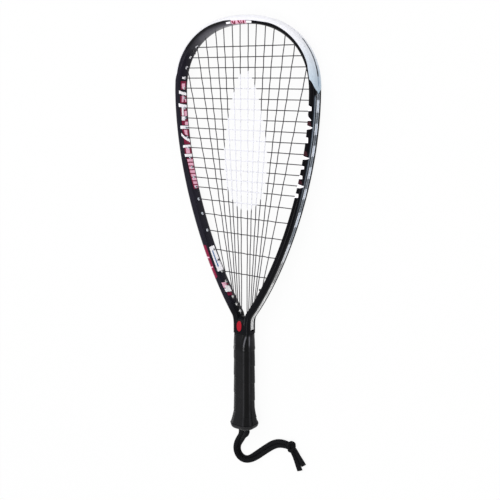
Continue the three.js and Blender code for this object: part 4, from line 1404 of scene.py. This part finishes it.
collar_top = HANDLE_LENGTH - 0.3
collar_rows = []
for below, inset in (
    (23.8, 1.2), (23.9, 0.4), (23.7, 0.0), (23, -0.14), (21.5, -0.2), (19.6, -0.14), (18, 0.0),
    (16, 0.08), (14, 0.26), (12, 0.5), (10, 0.82), (8, 1.2), (6, 1.65), (4, 2.12), (2.4, 2.5),
    (1.2, 2.78), (0.4, 2.96), (0.1, 3.05), (0.0, 3.6),
):
    narrowing = max(inset, 0) * 0.16 if below > 0 else 0.9
    chamfer = CHAMFER - abs(inset) * CHAMFER_LESS
    half_w = GRIP_W - min(inset, 0) - narrowing
    collar_rows.append((collar_top - below, octagon(half_w, GRIP_D - inset, chamfer, 4.6)))
add_mesh("collar_band", loft(collar_rows), collar_rubber, ["grip_collar"])

cap_rows = []
for y in (0.0, 0.02, 0.12, 0.4, 0.8, 1.4, 2.2, 3.2, 4.2, 5.2, 6.2, 6.7, 6.95, 7.0):
    inset = {0.0: 2.5, 7.0: 2.2, 6.95: 0.25}.get(y, 0.0)
    cap_rows.append((y, outline_at(y, inset, 3.2)))
cap_rows.append((20, outline_at(20, 2.4, 2.2)))
cap = add_mesh("heel_cap", loft(cap_rows), cap_rubber, ["butt_cap"], sharp=50)


def bore_out(obj, places, radius, low, high):
    """Cuts round holes along the handle's length."""
    for k, x in enumerate(places):
        mesh = bpy.data.meshes.new(f"cutter_{k}")
        cut = bmesh.new()
        bmesh.ops.create_cone(cut, cap_ends=True, segments=32, radius1=radius, radius2=radius,
                              depth=high - low)
        cut.transform(Matrix.Translation((x, (low + high) / 2, 0)) @ Matrix.Rotation(math.pi / 2, 4, "X"))
        cut.transform(RACKET)
        cut.to_mesh(mesh)
        cut.free()
        tool = bpy.data.objects.new(f"cutter_{k}", mesh)
        scene.collection.objects.link(tool)
        step = obj.modifiers.new("bore", "BOOLEAN")
        step.operation, step.solver, step.object = "DIFFERENCE", "EXACT", tool
        graph = bpy.context.evaluated_depsgraph_get()
        result = bpy.data.meshes.new_from_object(obj.evaluated_get(graph))
        obj.modifiers.clear()
        obj.data = result
        bpy.data.objects.remove(tool)
        bpy.data.meshes.remove(mesh)
    obj.data.set_sharp_from_angle(angle=math.radians(40))


bore_out(cap, (-CORD_HOLE_X, CORD_HOLE_X), BORE_R, -2, 3)

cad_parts["handle_core"].data.materials.clear()
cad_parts["handle_core"].data.materials.append(foam)


# Prints on the rim: plain bars and patches that follow its skin. A place on the skin is a distance s
# from the tip and an angle round the section: 0 at the outer face, 90 at the front, 180 at the inner
# wall
PRINT_LIFT = 0.07
LAYER_LIFT = 0.03


def print_patch(corners, lift):
    """Patch between four places (s, degrees)."""
    a, b, c, d = [Vector(corner) for corner in corners]
    cols = max(2, math.ceil(max(abs((b - a).x), abs((c - d).x)) / 3) + 1)
    rows = max(2, math.ceil(max(abs((d - a).y), abs((c - b).y)) / 7) + 1)
    points = []
    for j in range(rows):
        for i in range(cols):
            u, v = i / (cols - 1), j / (rows - 1)
            spot = a.lerp(b, u).lerp(d.lerp(c, u), v)
            points.append(place(spot.x, *over_skin(spot.y, lift)))
    return points, grid_faces(cols, rows), []


def add_print(name, patches, ink, layer=0):
    lift = PRINT_LIFT + layer * LAYER_LIFT
    points, quads, _ = joined([print_patch(corners, lift) for corners in patches])
    add_mesh(name, (points, quads), ink)


def bar(s, wide, lean, front, back):
    """Slanted bar across the rim: it starts at s on its front edge and leans along the hoop."""
    return [(s, front), (s + wide, front), (s + wide + lean, back), (s + lean, back)]


def patches_of(rows):
    """Patches from rows of four places, each written as s, degrees."""
    return [list(zip(row[::2], row[1::2])) for row in rows]


def mirrored(patches):
    return [[(-s, degrees) for s, degrees in corners] for corners in patches]


# Slanted bars and blocks on the left side's inner wall, then a run of short ticks
left_dusk = patches_of([
    (145.7, 146, 157.7, 150, 157.7, 198, 145.7, 196), (166.5, 140, 176, 140, 176.4, 202, 166.7, 202),
    (183, 138, 194, 138, 194.4, 204, 183.2, 204), (200.2, 142, 206.2, 142, 206.7, 206, 198, 206),
    (211.7, 136, 218.7, 146, 223, 204, 212.7, 204), (224, 144, 233, 144, 233.6, 206, 231, 206),
    (237.5, 136, 246, 136, 246.6, 206, 238, 206), (252, 146, 296, 160, 296, 208, 252, 206),
])
left_pale = patches_of([
    (149, 160, 156, 162, 156, 186, 149, 184), (165.7, 162, 174.7, 158, 174.7, 176, 165.7, 178),
    (170, 184, 174, 184, 175, 200, 171, 200), (187, 178, 193.7, 178, 194.2, 200, 187, 200),
    (202, 176, 206.2, 176, 206.7, 204, 202, 204), (213, 160, 219, 166, 221, 184, 213.5, 184),
    (238.2, 152, 245.7, 152, 246.2, 184, 238.7, 184),
])
left_white = patches_of([
    (158.7, 126, 162.9, 124, 166, 202, 162.2, 202), (176.2, 114, 181.2, 116, 182.4, 202, 178.7, 202),
    (181.2, 154, 193.2, 152, 193.2, 172, 181.2, 172), (194.4, 146, 199.7, 146, 200.2, 178, 194.4, 178),
    (206.7, 118, 211.2, 116, 211.9, 206, 207.7, 206), (216.7, 116, 220.6, 118, 231, 200, 226.7, 202),
    (233.7, 124, 237.2, 120, 237.9, 204, 234.2, 204), (246.2, 124, 249.9, 128, 250.9, 202, 246.9, 202),
    (139.4, 158, 142.2, 158, 142.6, 176, 139.8, 176),
])
left_pale += [bar(253.5 + 5.3 * k, 3.6, 1, 150 + 3 * k, 204) for k in range(8)]
# White notches and dark red flecks reach round the right side's inner edge on to its front
right_white = patches_of([
    (176.8, 78, 181.3, 76, 183.3, 150, 173.6, 150), (192.3, 76, 193.3, 72, 194.9, 150, 183.8, 150),
    (201.3, 48, 202.3, 46, 206.6, 150, 198.6, 150), (214.3, 88, 220.8, 82, 222.5, 150, 214.5, 150),
    (238.8, 36, 239.8, 36, 244.1, 150, 237.5, 150), (250.3, 84, 253.8, 80, 257.1, 150, 250.6, 150),
    (262.3, 84, 266.3, 76, 269.7, 150, 263.1, 150), (274.8, 36, 276.3, 34, 281.4, 150, 273.9, 150),
    (286.3, 82, 290.8, 74, 294.7, 150, 287.6, 150),
])
right_white += [[d, c, (c[0] - 1, 212), (d[0] - 1, 212)] for _, _, c, d in right_white]
right_dusk = patches_of([
    (194.8, 82, 199.8, 66, 198.6, 150, 194.9, 150), (231.3, 86, 236.8, 60, 237.5, 150, 231.2, 150),
    (268.8, 84, 273.3, 60, 273.9, 150, 269.9, 150),
])
top_white = [bar(-22.5, 7, 0, 98, 128), bar(10.5, 8.5, -1, 98, 136)]
top_pale = [bar(-14.5, 24, 0, 90, 150)]
top_dusk = [bar(-13.5, 2.6, 1.5, 94, 150), bar(-9, 2.2, -1.5, 96, 140), bar(-3.6, 2.6, 1.5, 94, 146),
            bar(1.2, 1.6, 0, 94, 146), bar(5, 2.6, -1.5, 96, 150)]
arm_red = [bar(373, 17, 3, 52, 108), bar(393, 13, 2, 52, 106), bar(409, 16, -2, 52, 104)]
arm_pale = [bar(390.5, 2, 2, 54, 96), bar(406.5, 1.8, 0, 54, 96)]
label = patches_of([(380.5, 144, 416.5, 140, 415.5, 204, 378.8, 192)])
label_stripe = patches_of([(386, 163, 410, 161, 409.6, 174, 385.4, 173)])
patch_pale = [bar(432.5, 8, 1, 128, 176)]
patch_white = [bar(437.5, 9.5, 1.5, 150, 190), bar(441.5, 5, 1, 132, 152)]
patch_dusk = [bar(448, 4.5, 1, 140, 182), bar(435.5, 3, 1, 178, 192)]
add_print("left_bars_dark", mirrored(left_dusk + arm_red + patch_dusk), paint_dusk)
add_print("left_bars_pale", mirrored(left_pale + arm_pale + patch_pale), paint_pale, 1)
add_print("left_bars_white", mirrored(left_white + label + patch_white), paint_white, 2)
add_print("left_label_stripe", mirrored(label_stripe), paint_blue, 3)
add_print("right_flecks_dark", right_dusk, paint_deep)
add_print("right_notches_white", right_white, paint_white, 1)
add_print("top_patch_pale", top_pale, paint_pale)
add_print("top_bars_dark", top_dusk, paint_dusk, 1)
add_print("top_bars_white", top_white, paint_white)


# Plain red oval on the throat
OVAL_MIDDLE = Vector((-1.8, 148))
OVAL_HALF = Vector((4, 7.2))


def throat_oval():
    points, rings, sides = [], 5, 32
    for r in range(rings):
        for k in range(sides):
            angle = TAU * k / sides
            x = OVAL_MIDDLE.x + OVAL_HALF.x * math.cos(angle) * (1 - r / rings)
            y = OVAL_MIDDLE.y + OVAL_HALF.y * math.sin(angle) * (1 - r / rings)
            points.append(Vector((x, y, bridge_height(x, y) + 0.12)))
    quads = ring_faces(rings, sides)
    del quads[-2]
    return points, quads


add_mesh("throat_oval_red", throat_oval(), paint_red)


# Floor, light and world
WHITE = (1, 1, 1)
FLOOR_HALF = 6.0


def show_white(owner, end, plain, white, share=1.0):
    """Lights as the plain shader does, and shows the white one to the camera and in gloss."""
    owner.use_nodes = True
    tree = owner.node_tree
    tree.nodes.clear()
    rays = add_node(tree, "LightPath", {})
    seen = add_node(tree, "Math", {0: rays["Is Camera Ray"], 1: rays["Is Glossy Ray"]}, operation="MAXIMUM")
    part = add_node(tree, "Math", {0: seen[0], 1: share}, operation="MULTIPLY")
    first, second = [add_node(tree, *shader)[0] for shader in (plain, white)]
    shown = add_node(tree, "MixShader", {0: part[0], 1: first, 2: second})
    add_node(tree, end, {"Surface": shown[0]})


floor_mesh = bpy.data.meshes.new("floor")
floor_mesh.from_pydata([(-FLOOR_HALF, -FLOOR_HALF, 0), (FLOOR_HALF, -FLOOR_HALF, 0),
                        (FLOOR_HALF, FLOOR_HALF, 0), (-FLOOR_HALF, FLOOR_HALF, 0)], [], [(0, 1, 2, 3)])
floor_white = bpy.data.materials.new("floor_white")
show_white(floor_white, "OutputMaterial", ("BsdfDiffuse", {"Color": (0.9, 0.9, 0.9)}),
           ("Emission", {"Color": WHITE, "Strength": 1.0}), 0.93)
floor_mesh.materials.append(floor_white)
floor = bpy.data.objects.new("floor", floor_mesh)
scene.collection.objects.link(floor)
floor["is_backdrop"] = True

scene.world = bpy.data.worlds.new("studio")
show_white(scene.world, "OutputWorld", ("Background", {"Color": WHITE, "Strength": 0.45}),
           ("Background", {"Color": WHITE, "Strength": 1.0}))


def lamp(name, place_at, target, size, watts):
    data = bpy.data.lights.new(name, "AREA")
    data.shape, data.size, data.energy = "SQUARE", size, watts
    obj = bpy.data.objects.new(name, data)
    scene.collection.objects.link(obj)
    obj.location = place_at
    obj.rotation_mode = "QUATERNION"
    obj.rotation_quaternion = (Vector(target) - Vector(place_at)).to_track_quat("-Z", "Y")


lamp("overhead", (0.25, -0.75, 1.9), (0, 0, 0), 0.7, 13)
lamp("key", (-1.2, 0.9, 1.8), (0, 0, 0), 1.4, 16)
lamp("low_left", (-1.9, -0.75, 0.35), (0, -0.1, 0), 0.6, 7)
lamp("rim_light", (0.6, 2.0, 1.0), (0, 0.1, 0), 1.2, 9)
lamp("fill", (1.8, 0.5, 1.2), (0, 0, 0), 1.0, 7)

scene.view_settings.view_transform = "Standard"

low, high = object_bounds()
{"cad": [list(cad_low), list(cad_high)], "visual": [list(low), list(high)]}
